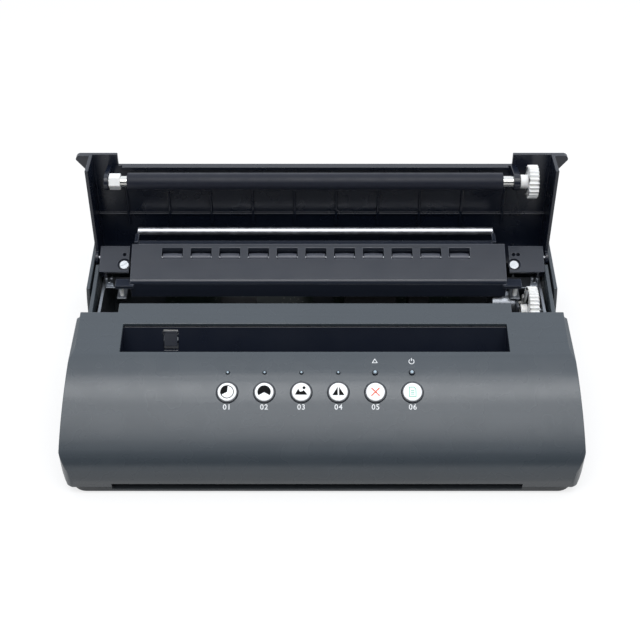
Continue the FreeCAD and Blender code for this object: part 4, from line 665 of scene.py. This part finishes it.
def lathe(mesh: Draft, seat: Seat, outline: Outline, sides: int = 64, closed: bool = False) -> None:
    """Turn an outline round a seat's axis.

    Args:
        mesh: the mesh that gets the faces.
        seat: the axis, and where the outline starts on it.
        outline: how far along the axis each point is, and how far from it.
        sides: how many sides the turned form has.
        closed: whether the last point joins the first, as on a ring.
    """
    rings = []
    for height, radius in outline:
        circle = arc(radius, 0, 360, sides)[:-1] if radius * MM >= WELD else [(0, 0)]
        rings.append([mesh.verts.new(seat.at(x, y, height)) for x, y in circle])
    skin(mesh, rings, closed)


def raise_shape(mesh: Draft, seat: Seat, outline: Outline, low: float, high: float) -> None:
    """Raise a flat outline into a solid.

    Args:
        mesh: the mesh that gets the faces.
        seat: where the outline's middle lies.
        outline: the outline, in millimetres across and up.
        low: the solid's foot over the seat.
        high: the solid's top over the seat.
    """
    floor, roof = ([mesh.verts.new(seat.at(x, y, height)) for x, y in outline] for height in (low, high))
    mesh.faces.new(roof)
    mesh.faces.new(floor[::-1])
    skin(mesh, [floor, roof])


def smooth_off(mesh: Draft) -> None:
    """Turn all faces outwards and shade them smooth, except over edges that turn sharply."""
    bmesh.ops.recalc_face_normals(mesh, faces=mesh.faces)
    for face in mesh.faces:
        face.smooth = True
    for edge in mesh.edges:
        edge.smooth = len(edge.link_faces) == 2 and edge.calc_face_angle(0.0) < math.radians(SHARP_DEG)


def as_mesh(mesh: Draft, name: str) -> bpy.types.Mesh:
    """Turn a mesh under construction into one that objects can hold.

    Args:
        mesh: the mesh under construction, which is freed.
        name: the new mesh's name.

    Returns:
        The new mesh.
    """
    smooth_off(mesh)
    made = bpy.data.meshes.new(name)
    mesh.to_mesh(made)
    mesh.free()
    return made


def add_object(name: str, data: bpy.types.ID) -> bpy.types.Object:
    """Put an object into the scene.

    Args:
        name: the object's name.
        data: its mesh, curve, light or camera.

    Returns:
        The object.
    """
    thing = bpy.data.objects.new(name, data)
    bpy.context.scene.collection.objects.link(thing)
    return thing


def body_of_node(node: str) -> str:
    """Return the name of the body that a node moves with."""
    return frame["nodes"][node]["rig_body"]


@dataclass
class SubAssembly:
    """A group of pieces that are built and dressed together."""

    title: str

    def keep(self, finish: Finish, *nodes: str) -> None:
        """Leave nodes in their own shape and give them a finish.

        Args:
            finish: what they are made of.
            nodes: the nodes' names.
        """
        for node in nodes:
            thing = frame["nodes"][node]
            if not thing.material_slots:
                thing.data.materials.append(None)
            for place in thing.material_slots:
                place.material = finish.material()
            LOG.info("%s: %s keeps its shape in %s", self.title, node, finish.name)

    def place(self, name: str, mesh: bpy.types.Mesh, finish: Finish, node: str, replace: bool = True,
              slot: str | None = None) -> bpy.types.Object:
        """Put a made piece on the object.

        Args:
            name: the piece's name.
            mesh: its mesh, in the object's own frame.
            finish: what it is made of.
            node: the node that it stands for, or lies on.
            replace: whether it stands for the node.
            slot: not used.

        Returns:
            The piece.
        """
        piece = add_object(name, mesh)
        mesh.materials.clear()
        mesh.materials.append(finish.material())
        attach(piece, body_of_node(node))
        if replace:
            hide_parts(node)
        LOG.info("%s: %s in %s, %d faces", self.title, name, finish.name, len(mesh.polygons))
        return piece

    def soften(self, finish: Finish, *nodes: str, edge_mm: float = 0.3, segments: int = 2,
               merge: bool = True) -> None:
        """Rebuild nodes with small roundings on their sharp edges.

        Args:
            finish: what they are made of.
            nodes: the nodes' names.
            edge_mm: how wide the rounding is.
            segments: how many faces go round it.
            merge: whether flat neighbours become one face, which suits faces without holes.
        """
        for node in nodes:
            mesh = bmesh.new()
            mesh.from_mesh(frame["nodes"][node].data)
            bmesh.ops.remove_doubles(mesh, verts=mesh.verts, dist=WELD)
            if merge:
                bmesh.ops.dissolve_limit(
                    mesh, angle_limit=math.radians(FLAT_DEG), verts=mesh.verts, edges=mesh.edges)
            bare = bmesh.new()
            corners = {corner: bare.verts.new(corner.co) for corner in mesh.verts}
            for face in mesh.faces:
                bare.faces.new([corners[corner] for corner in face.verts])
            mesh.free()
            name = node + "_softened"
            piece = self.place(name, as_mesh(bare, name), finish, node)
            bevel = piece.modifiers.new("edges", "BEVEL")
            bevel.width = edge_mm * MM
            bevel.segments = segments
            bevel.limit_method = "ANGLE"
            bevel.angle_limit = math.radians(SHARP_DEG)
            bevel.use_clamp_overlap = False
            bevel.miter_outer = "MITER_ARC"
            weigh = piece.modifiers.new("shading", "WEIGHTED_NORMAL")
            weigh.keep_sharp = True
            weigh.weight = FACE_WEIGHT

    def turn(self, finish: Finish, node: str, outline_of: Callable[[Seat], Outline], name: str | None = None,
             out: Vector = UP, sides: int = 64, closed: bool = False, **placing: object) -> None:
        """Rebuild a node of turned solids as one piece.

        Args:
            finish: what it is made of.
            node: the node's name.
            outline_of: a function that gives each solid's outline from its seat.
            name: the piece's name, or None to follow the node's.
            out: the direction of the solids' axes.
            sides: how many sides the turned forms have.
            closed: whether the outline is a ring's.
            placing: what place takes besides: replace and slot.
        """
        mesh = bmesh.new()
        for seat in seats_of(node, out):
            lathe(mesh, seat, outline_of(seat), sides, closed)
        name = name or node + "_turned"
        self.place(name, as_mesh(mesh, name), finish, node, **placing)


@dataclass
class Casing(SubAssembly):
    """The grey casing, its rails, the pan below it, the rear panel, feet and base screws."""

    foot_edge: float = 0.45
    cup_share: float = 0.45
    cup_round: float = 0.3
    tread_round: float = 0.2

    def foot(self, seat: Seat) -> Outline:
        """Outline a rubber foot with a rounded tread and a shallow cup in the middle."""
        edge = self.foot_edge
        cup = seat.radius * self.cup_share
        return rounded([
            (edge, 0, 0), (edge, cup, self.cup_round), (0, cup + edge, self.tread_round),
            (0, seat.radius, edge), (seat.height, seat.radius, 0), (seat.height, 0, 0)])

    def build(self) -> None:
        """Dress the casing's pieces."""
        self.soften(CASING, "main_casing", edge_mm=0.35)
        self.soften(CASING, "lid_rails", "rear_panel")
        self.soften(PAN, "base_pan")
        self.turn(FOOT, "rubber_feet", self.foot)
        self.soften(ZINC_SCREW, "base_screws", edge_mm=0.25)


@dataclass
class KeyPanel(SubAssembly):
    """Six keys in their bezels, the lamps over them, and the marks and numbers that go with them."""

    brow_arc: float = 112.8
    key_rise: float = 1.5
    number_turn: float = 58.2
    sign_turn: float = 72.3
    lamp_turn: float = 68.7
    number_size: float = 4.3
    number_bold: float = 0.06
    number_space: float = 1.15
    cap_edge: float = 0.55
    cap_overlap: float = 0.05
    dish_share: float = 0.55
    dish: float = 0.12
    dish_middle: float = 0.15
    lip: float = 0.25
    bezel_wall: float = 0.75
    ink: float = 0.04
    ink_root: float = 0.06
    sign_sink: float = 0.13
    sign_ink: float = 0.1
    flange: float = 0.5
    flange_skin: float = 0.5
    stem_radius: float = 1.6
    stem_skin: float = 0.4
    lens_share: float = 0.66
    lens_gap: float = 0.02
    dome_share: float = 0.6
    collar_share: float = 0.35
    collar_drop: float = 0.1
    collar_edge: float = 0.12

    def __post_init__(self) -> None:
        """Find the way that the keys and lamps face and the centre of the brow's arc."""
        joint = next(item for item in frame["joints"] if item["name"] == "key_1_press")
        self.key_out = -Vector(joint["axis"]).normalized()
        keys = sorted(node for node in frame["nodes"] if node.startswith("key_cap_"))
        self.caps = {node: seats_of(node, self.key_out)[0] for node in keys}
        first = self.caps[keys[0]]
        top = first.at(0, 0, first.height)
        self.brow_centre = top - self.key_out * (self.brow_arc + self.key_rise) * MM
        self.lamp_out = self.on_brow(0.0, self.lamp_turn).out

    def on_brow(self, x: float, turn_deg: float) -> Seat:
        """Find a place on the casing's brow.

        Args:
            x: how far right it lies, in metres.
            turn_deg: how far it is turned up from facing the front.

        Returns:
            Its seat.
        """
        turn = math.radians(turn_deg)
        out = Vector((0, -math.cos(turn), math.sin(turn)))
        point = Vector((x, self.brow_centre.y, self.brow_centre.z)) + out * self.brow_arc * MM
        return Seat(point, RIGHT, out.cross(RIGHT), out)

    def cap(self, seat: Seat) -> Outline:
        """Outline a key: its stem, its flange under the casing and its dished cap with a rounded rim."""
        wide = seat.radius
        cap = wide - self.flange + self.cap_overlap
        flange_top = self.stem_skin + self.flange_skin
        return rounded([
            (0, 0, 0), (0, self.stem_radius, 0), (self.stem_skin, self.stem_radius, 0),
            (self.stem_skin, wide, 0), (flange_top, wide, 0), (flange_top, cap, 0),
            (seat.height, cap, self.cap_edge), (seat.height - self.dish, cap * self.dish_share, 0),
            (seat.height - self.dish_middle, 0, 0)])

    def bezel(self, seat: Seat) -> Outline:
        """Outline a bezel, from halfway up its bore: a thin tube with a rounded lip."""
        inner = seat.radius - self.bezel_wall
        return rounded([
            (0, inner, 0), (0, seat.radius, 0), (seat.height, seat.radius, self.lip),
            (seat.height, inner, self.lip), (seat.height / 2, inner, 0)])

    def lens(self, seat: Seat) -> Outline:
        """Outline a lamp's lens: a straight barrel under a low dome."""
        wide = seat.radius * self.lens_share
        base = seat.height - wide * self.dome_share
        dome = [(base + high * self.dome_share, side) for side, high in arc(wide, 0, 90, 10)]
        return [(0, 0), (0, wide)] + dome

    def collar(self, seat: Seat) -> Outline:
        """Outline the black collar round a lamp's lens, which is painted shade for the lamp's hole."""
        inner = seat.radius * self.lens_share + self.lens_gap
        top = seat.height - seat.radius * self.collar_share
        return [(0, inner), (0, seat.radius), (top - self.collar_drop, seat.radius),
                (top, seat.radius - self.collar_edge), (top, inner)]

    def signs(self) -> dict[int, tuple[Finish, list[Outline]]]:
        """Draw the keys' signs.

        Returns:
            The ink and the shapes of each key's sign, in millimetres on its cap.
        """
        wide, line, touch = 3.9, 0.45, 0.01
        ring = [arc(wide, start, start + 180) + arc(wide - line, start + 180, start) for start in (0, 180)]
        peaks = [(-3.6, -1.7), (-1.8, 1.8), (-0.7, 0.0), (0.9, 0.5), (1.4, 1.0), (3.6, -1.7)]
        bar, reach = 0.3, 3.3
        cross = []
        for quarter in range(4):
            turn = math.radians(45 + 90 * quarter)
            way = Vector((math.cos(turn), math.sin(turn)))
            side = Vector((-way.y, way.x))
            cross += [tuple(way * bar - side * bar), tuple(way * reach - side * bar),
                      tuple(way * reach + side * bar)]
        page = [(-2.1, -3.0), (2.1, -3.0), (2.1, 1.8), (0.9, 3.0), (-2.1, 3.0)]
        inner = [(x * 0.8, y * 0.86) for x, y in page]
        frame_left = [page[4], page[0], page[1], inner[1], inner[0], inner[4]]
        frame_right = page[1:] + [inner[place] for place in (4, 3, 2, 1)]
        lines = [[(-1.0, y), (1.0, y), (1.0, y + line), (-1.0, y + line)] for y in (-1.6, -0.5, 0.6)]
        corner_left = [(-3.5, -2.0), (-0.4, -2.0), (-0.4, 2.9)]
        corner_right = [(3.5, -2.0), (0.4, 2.9), (0.4, -2.0)]
        return {
            1: (BLACK_INK, ring + [[(0, 0)] + arc(wide - line + touch, 84, 208)]),
            2: (BLACK_INK, [[(0, -0.2)] + arc(3.8, -32, 212, 40)]),
            3: (BLACK_INK, [peaks, arc(0.85, 0, 345, 23, (1.6, 2.4))]),
            4: (BLACK_INK, [corner_left, corner_right]),
            5: (RED_INK, [cross]),
            6: (GREEN_INK, [frame_left, frame_right] + lines)}

    def print_shapes(self, name: str, finish: Finish, node: str, seat: Seat, shapes: list[Outline],
                     ink: float) -> None:
        """Print flat shapes on a seat.

        Args:
            name: the print's name.
            finish: its ink.
            node: the node that it lies on.
            seat: where the shapes' middle lies.
            shapes: their outlines.
            ink: how far the ink stands up, in millimetres.
        """
        mesh = bmesh.new()
        for shape in shapes:
            raise_shape(mesh, seat, shape, -self.ink_root, ink)
        self.place(name, as_mesh(mesh, name), finish, node, replace=False)

    def print_number(self, number: int, seat: Seat) -> None:
        """Print a key's number on the brow below it.

        Args:
            number: the number.
            seat: where its middle lies.
        """
        text = bpy.data.curves.new(f"number_{number}", "FONT")
        text.body = f"{number:02d}"
        text.size = self.number_size
        text.align_x = text.align_y = "CENTER"
        text.extrude = (self.ink + self.ink_root) / 2
        text.offset = self.number_bold
        text.space_character = self.number_space
        holder = add_object("number_holder", text)
        bpy.context.view_layer.update()
        flat = bpy.data.meshes.new_from_object(holder.evaluated_get(bpy.context.evaluated_depsgraph_get()))
        bpy.data.objects.remove(holder)
        for corner in flat.vertices:
            corner.co = seat.at(corner.co.x, corner.co.y, corner.co.z + (self.ink - self.ink_root) / 2)
        flat.update()
        self.place(f"key_number_{number}", flat, WHITE_INK, "main_casing", replace=False)

    def print_lamp_signs(self) -> None:
        """Print a triangle and a stroke in a ring over the two larger lamps."""
        tall, hollow = 2.0, 0.62
        turns = [math.radians(turn_deg) for turn_deg in (90, 210, 330)]
        triangle = [(math.cos(turn) * tall, math.sin(turn) * tall) for turn in turns]
        inner = [(x * hollow, y * hollow) for x, y in triangle]
        sides = [[triangle[i - 1], triangle[i], inner[i], inner[i - 1]] for i in range(3)]
        stroke = [(-0.2, 0.4), (0.2, 0.4), (0.2, 2.2), (-0.2, 2.2)]
        ring = [arc(1.7, -240, 60, 30) + arc(1.3, 60, -240, 30), stroke]
        signs = {"lamp_sign_triangle": sides, "lamp_sign_ring": ring}
        for lamp, (name, shapes) in zip(seats_of("alert_lamps", self.lamp_out), signs.items()):
            seat = self.on_brow(lamp.origin.x, self.sign_turn)
            self.print_shapes(name, WHITE_INK, "main_casing", seat, shapes, self.ink)

    def build(self) -> None:
        """Build the keys, bezels, lamps, signs and numbers."""
        signs = self.signs()
        for number, (node, seat) in enumerate(self.caps.items(), start=1):
            self.turn(KEY, node, self.cap, out=self.key_out, sides=72)
            finish, shapes = signs[number]
            top = with_changes(seat, origin=seat.at(0, 0, seat.height - self.sign_sink))
            self.print_shapes(f"key_sign_{number}", finish, node, top, shapes, self.sign_ink)
            self.print_number(number, self.on_brow(seat.origin.x, self.number_turn))
        self.turn(INNER, "key_bezels", self.bezel, out=self.key_out, sides=72, closed=True)
        for node in ("status_lamps", "alert_lamps"):
            self.turn(LAMP, node, self.lens, out=self.lamp_out, sides=40)
            # The black collars are painted shade for the dark ring in each lamp's hole.
            self.turn(INNER, node, self.collar, node + "_collars", self.lamp_out, sides=40, closed=True,
                      replace=False, slot="black_plastic")
        self.print_lamp_signs()
        self.soften(INNER, "key_switches")
        self.keep(BOARD, "key_board")


@dataclass
class PaperPath(SubAssembly):
    """The entry chute with its flag, the feed roller with its drive, and the sensor bar."""

    roller_edge: float = 0.4
    dish: float = 0.4
    dish_share: float = 0.55
    shaft_edge_share: float = 0.2

    def roller(self, seat: Seat) -> Outline:
        """Outline a rubber roller with soft ends and a dished face round its shaft."""
        dish, middle = self.dish, seat.radius * self.dish_share
        return ends_alike(seat, [
            (dish, 0, 0), (dish, middle, 0), (0, middle + dish, 0), (0, seat.radius, self.roller_edge)])

    def shaft(self, seat: Seat) -> Outline:
        """Outline a shaft whose chamfers are a share of its radius."""
        return spindle(seat, seat.radius * self.shaft_edge_share)

    def build(self) -> None:
        """Dress the paper path."""
        self.soften(INNER, "entry_chute", "page_flag", edge_mm=0.25)
        self.turn(RUBBER, "feed_rubber", self.roller, out=RIGHT)
        self.turn(GROUND_STEEL, "feed_shaft", self.shaft, out=RIGHT, sides=40)
        self.soften(ACETAL, "feed_gear", "feed_pinion", edge_mm=0.15)
        self.soften(ZINC_STEEL, "feed_motor", edge_mm=0.4)
        self.soften(INNER, "scanner_bar")
        self.keep(GLASS, "scanner_glass")


@dataclass
class Works(SubAssembly):
    """The steel frame, the platen's drive, the print head and the hinge."""

    spring_wire: float = 0.35
    spring_turns: int = 7
    spring_give: float = 0.8
    end_pitch_wires: float = 2.1

    def wind(self, mesh: Draft, seat: Seat) -> None:
        """Wind a coil spring, its first and last turns lying close.

        Args:
            mesh: the mesh that gets the faces.
            seat: where it stands.
        """
        wire, turns, steps, sides = self.spring_wire, self.spring_turns, 24, 8
        close = self.end_pitch_wires * wire
        pitch = (seat.height - 2 * wire - 2 * close) / (turns - 2)
        section = arc(wire, 0, 360, sides, (seat.radius - wire, 0))[:-1]
        rings = []
        for step in range(turns * steps + 1):
            turned = step / steps
            open_turns = min(max(turned - 1, 0), turns - 2)
            rise = wire + close * (min(turned, 1) + max(turned - turns + 1, 0)) + pitch * open_turns
            across, up = math.cos(math.radians(360 * turned)), math.sin(math.radians(360 * turned))
            places = [(wide * across, wide * up, rise + lift) for wide, lift in section]
            rings.append([mesh.verts.new(seat.at(*place)) for place in places])
        skin(mesh, rings)
        mesh.faces.new(rings[0])
        mesh.faces.new(rings[-1])

    def springs(self) -> None:
        """Build the head's springs."""
        seats = seats_of("head_springs")
        mesh = bmesh.new()
        for seat in seats:
            self.wind(mesh, seat)
        name = "head_springs_coiled"
        coils = self.place(name, as_mesh(mesh, name), GROUND_STEEL, "head_springs")
        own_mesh(coils)

    def build(self) -> None:
        """Dress the works."""
        self.soften(ZINC_STEEL, "side_plate_left", "side_plate_right", "cross_beam", "head_beam", edge_mm=0.2)
        self.soften(ZINC_STEEL, "motor_plates", edge_mm=0.15)
        self.soften(ZINC_STEEL, "platen_motor", edge_mm=0.4)
        self.soften(ACETAL, "drive_gear", edge_mm=0.4, segments=3)
        self.soften(ACETAL, "platen_pinion", edge_mm=0.15)
        low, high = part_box("thermal_head")
        self.keep(with_changes(CERAMIC, line_y=(low.y + high.y) / 2), "thermal_head")
        self.soften(ALUMINIUM, "head_sink", edge_mm=0.2)
        self.springs()
        self.keep(GROUND_STEEL, "hinge_pins")
        self.soften(INNER, "lid_catches")


@dataclass
class StencilPath(SubAssembly):
    """The sloping guide with its idlers, the decks beside it, and the paper rod on its bar."""

    crown: float = 0.3
    idler_edge: float = 0.3
    idler_bore: float = 1.2
    rod_edge: float = 0.45
    rod_round: float = 0.3
    deck_slope: float = 25.0
    head_height: float = 0.9
    head_share: float = 0.88
    head_edge: float = 0.22
    top_share: float = 0.93
    slot_half: float = 0.38
    slot_depth: float = 0.45
    slot_turn: float = 32.0
    shank_radius: float = 1.3
    point_radius: float = 0.8
    point: float = 0.4
    washer_bore: float = 1.4
    washer_rim: float = 0.6
    washer_sink: float = 0.15
    washer_rise: float = 0.25
    washer_round: float = 0.15

    def idler(self, seat: Seat) -> Outline:
        """Outline an idler: a barrel, fuller in the middle."""
        steps, edge = 8, self.idler_edge
        end = seat.radius - self.crown - edge
        outline = [(0, self.idler_bore), (0, end)]
        for step in range(steps + 1):
            along = edge + (seat.height - 2 * edge) * step / steps
            bulge = 1 - (2 * step / steps - 1) ** 2
            outline.append((along, seat.radius - self.crown * (1 - bulge)))
        return outline + [(seat.height, end), (seat.height, self.idler_bore)]

    def rod(self, seat: Seat) -> Outline:
        """Outline the paper rod with turned ends."""
        return spindle(seat, self.rod_edge, self.rod_round)

    def washer(self, seat: Seat) -> Outline:
        """Outline the washer under a deck screw's head."""
        low = seat.height - self.head_height - self.washer_sink
        high = seat.height - self.head_height + self.washer_rise
        rim = seat.radius + self.washer_rim
        return rounded([
            (low, self.washer_bore, 0), (low, rim, 0), (high, rim, self.washer_round),
            (high, self.washer_bore, 0)])

    def cut_head(self, mesh: Draft, seat: Seat, bed: float) -> None:
        """Build the two halves of a screw's head beside its slot.

        Args:
            mesh: the mesh that gets the faces.
            seat: where the screw stands.
            bed: the height of the slot's bed.
        """
        turn = math.radians(self.slot_turn)
        across = seat.across * math.cos(turn) + seat.up * math.sin(turn)
        turned = Seat(seat.origin, across, seat.out.cross(across), seat.out)
        start = math.degrees(math.asin(self.slot_half / seat.radius))
        rim = seat.height - self.head_edge
        for way in (1, -1):
            middle = self.slot_half * way
            half = [(x, y * way) for x, y in arc(seat.radius, start, 180 - start, 24)]
            inner = [(x * self.top_share, middle + (y - middle) * self.top_share) for x, y in half]
            raise_shape(mesh, turned, half, bed, rim)
            raise_shape(mesh, turned, inner, rim, seat.height)

    def deck_screws(self) -> None:
        """Build the two deck screws, each with a slot across its head and a washer under it."""
        slope = math.radians(self.deck_slope)
        screws, washers = bmesh.new(), bmesh.new()
        for whole in seats_of("deck_screws", Vector((0, -math.sin(slope), math.cos(slope)))):
            lathe(washers, whole, self.washer(whole), 48, closed=True)
            seat = with_changes(whole, radius=whole.radius * self.head_share)
            under, bed = seat.height - self.head_height, seat.height - self.slot_depth
            lathe(screws, seat, [
                (0, 0), (self.point, self.point_radius), (under, self.shank_radius), (under, seat.radius),
                (bed, seat.radius), (bed, 0)], 48)
            self.cut_head(screws, seat, bed)
        self.place("deck_screws_slotted", as_mesh(screws, "deck_screws_slotted"), ZINC_SCREW, "deck_screws",
                   slot="zinc_steel")
        self.place("deck_screw_washers", as_mesh(washers, "deck_screw_washers"), RUBBER, "deck_screws",
                   replace=False, slot="black_rubber")

    def build(self) -> None:
        """Build and dress the stencil's path."""
        self.soften(GUIDE, "stencil_guide", merge=False)
        self.soften(GUIDE, "deck_left", "deck_right", edge_mm=0.25)
        self.soften(GUIDE, "rear_bar")
        self.turn(IDLER, "idler_rollers", self.idler, out=RIGHT, sides=48, closed=True)
        self.keep(GROUND_STEEL, "idler_shaft")
        self.soften(ACETAL, "guide_studs", edge_mm=0.2)
        self.turn(GROUND_STEEL, "paper_rod", self.rod, out=RIGHT)
        self.deck_screws()


@dataclass
class Lid(SubAssembly):
    """The black lid and the platen that it carries."""

    shaft_edge: float = 0.3
    rubber_edge: float = 0.5
    rubber_bore: float = 3.5

    def shaft(self, seat: Seat) -> Outline:
        """Outline the platen's shaft."""
        return spindle(seat, self.shaft_edge)

    def rubber(self, seat: Seat) -> Outline:
        """Outline the platen's rubber with rounded ends."""
        return ends_alike(seat, [(0, self.rubber_bore, 0), (0, seat.radius, self.rubber_edge)])

    def build(self) -> None:
        """Build and dress the lid."""
        self.soften(LID, "lid_shell", edge_mm=0.35)
        self.soften(LID, "platen_brackets")
        self.turn(TURNED_STEEL, "platen_shaft", self.shaft, out=RIGHT, slot="bright_steel")
        self.turn(RUBBER, "platen_rubber", self.rubber, out=RIGHT, sides=80, closed=True)
        self.soften(ACETAL, "hex_bushing", edge_mm=0.4, segments=3)
        self.soften(ACETAL, "platen_gear", edge_mm=0.42, segments=3)


@dataclass
class Electrics(SubAssembly):
    """The boards, the power inlet and the rocker switch."""

    def build(self) -> None:
        """Dress the electrics."""
        self.keep(BOARD, "main_board", "supply_board")
        self.soften(CHIP, "board_parts")
        self.soften(INNER, "power_inlet", "switch_case", "switch_rocker")


@dataclass
class Studio:
    """The pale floor, the soft lights and the camera at the photograph's angle."""

    camera_place: tuple[float, float, float] = (-0.0012, -0.53785, 0.5619)
    camera_tilt: float = 46.5
    lens_pixels: float = 1226.0
    image_pixels: float = 640.0
    sensor_mm: float = 36.0
    floor_half: float = 3.0
    floor_colour: str = "#F4F4F4"
    floor_dim: float = 0.2
    floor_shown: float = 0.3
    floor_glow: float = 0.72
    room_colour: str = "#F3F8FF"
    room_aim: tuple[float, float, float] = (0.0, 0.75, 0.66)
    room_ends: tuple[float, float] = (-0.6, 0.9)
    room_dark: float = 0.02
    room_bright: float = 1.3

    def camera(self) -> None:
        """Stand the camera above and in front of the copier."""
        lens = bpy.data.cameras.new("camera")
        lens.sensor_width = self.sensor_mm
        lens.lens = self.lens_pixels / self.image_pixels * self.sensor_mm
        stand = add_object("camera", lens)
        stand.location = self.camera_place
        stand.rotation_euler = (math.radians(self.camera_tilt), 0.0, 0.0)
        bpy.context.scene.camera = stand

    def floor(self) -> None:
        """Lay a floor that is white where it is seen and, for the light it throws back, dim.

        The camera, reflections and clear pieces see the glow with the copier's shadow on it.
        """
        mesh = bmesh.new()
        half = self.floor_half
        corners = ((-half, -half), (half, -half), (half, half), (-half, half))
        mesh.faces.new([mesh.verts.new((x, y, 0.0)) for x, y in corners])
        floor = add_object("floor", as_mesh(mesh, "floor"))
        material = bpy.data.materials.new("paper_sweep_matt")
        tree = bare_tree(material)
        dim, shown = (add_node(tree, "BsdfDiffuse", {"Color": hex_to_linear(self.floor_colour, share)})
                      for share in (self.floor_dim, self.floor_shown))
        glow = add_node(tree, "Emission", {"Color": hex_to_linear("#FFFFFF"), "Strength": self.floor_glow})
        both = add_node(tree, "AddShader", {0: shown.outputs[0], 1: glow.outputs[0]})
        mix = add_node(tree, "MixShader", {
            0: seen_by(tree, "Camera", "Glossy", "Transmission"), 1: dim.outputs[0], 2: both.outputs[0]})
        add_node(tree, "OutputMaterial", {"Surface": mix.outputs[0]})
        floor.data.materials.append(material)

    def world(self) -> None:
        """Fill the room with light, brightest above and behind and dark in front, white where it is seen."""
        world = bpy.data.worlds.new("room")
        tree = bare_tree(world)
        seen = seen_by(tree, "Camera", "Transmission")
        place = add_node(tree, "TexCoord")
        height = dot(tree, place.outputs["Generated"], self.room_aim)
        level = add_node(tree, "Mix", {
            0: seen, 2: remap(tree, height, self.room_ends, self.room_dark, self.room_bright), 3: 1.0})
        tone = blend(tree, seen, hex_to_linear(self.room_colour), hex_to_linear("#FFFFFF"))
        light = add_node(tree, "Background", {"Color": tone, "Strength": level.outputs[0]})
        add_node(tree, "OutputWorld", {"Surface": light.outputs[0]})
        bpy.context.scene.world = world

    def lamp(self, name: str, place: Iterable[float], aim: Iterable[float], size: tuple[float, float],
             power: float) -> None:
        """Hang a soft light.

        Args:
            name: its name.
            place: where it hangs, in metres.
            aim: what it points at.
            size: how wide and deep it is.
            power: its power in watts.
        """
        light = bpy.data.lights.new(name, "AREA")
        light.shape = "RECTANGLE"
        light.size, light.size_y = size
        light.energy = power
        stand = add_object(name, light)
        stand.location = Vector(place)
        stand.rotation_euler = (Vector(aim) - Vector(place)).to_track_quat("-Z", "Y").to_euler()

    def build(self) -> None:
        """Set up the whole studio."""
        self.camera()
        self.floor()
        self.world()
        self.lamp("softbox_overhead", (0.0, -0.215, 0.95), (0.0, -0.215, 0.0), (1.0, 0.21), 3.6)
        self.lamp("softbox_front", (0.0, -0.54, 0.86), (0.0, -0.08, 0.08), (1.0, 0.34), 2.4)
        bpy.context.scene.view_settings.view_transform = "Standard"


def main() -> None:
    """Build every sub-assembly and the studio."""
    logging.basicConfig(level=logging.INFO, format="%(name)s: %(message)s")
    Studio().build()
    for part in (Casing("casing"), KeyPanel("key panel"), PaperPath("paper path"), Works("works"),
                 StencilPath("stencil path"), Lid("lid"), Electrics("electrics")):
        part.build()


if __name__ == "__main__":
    main()
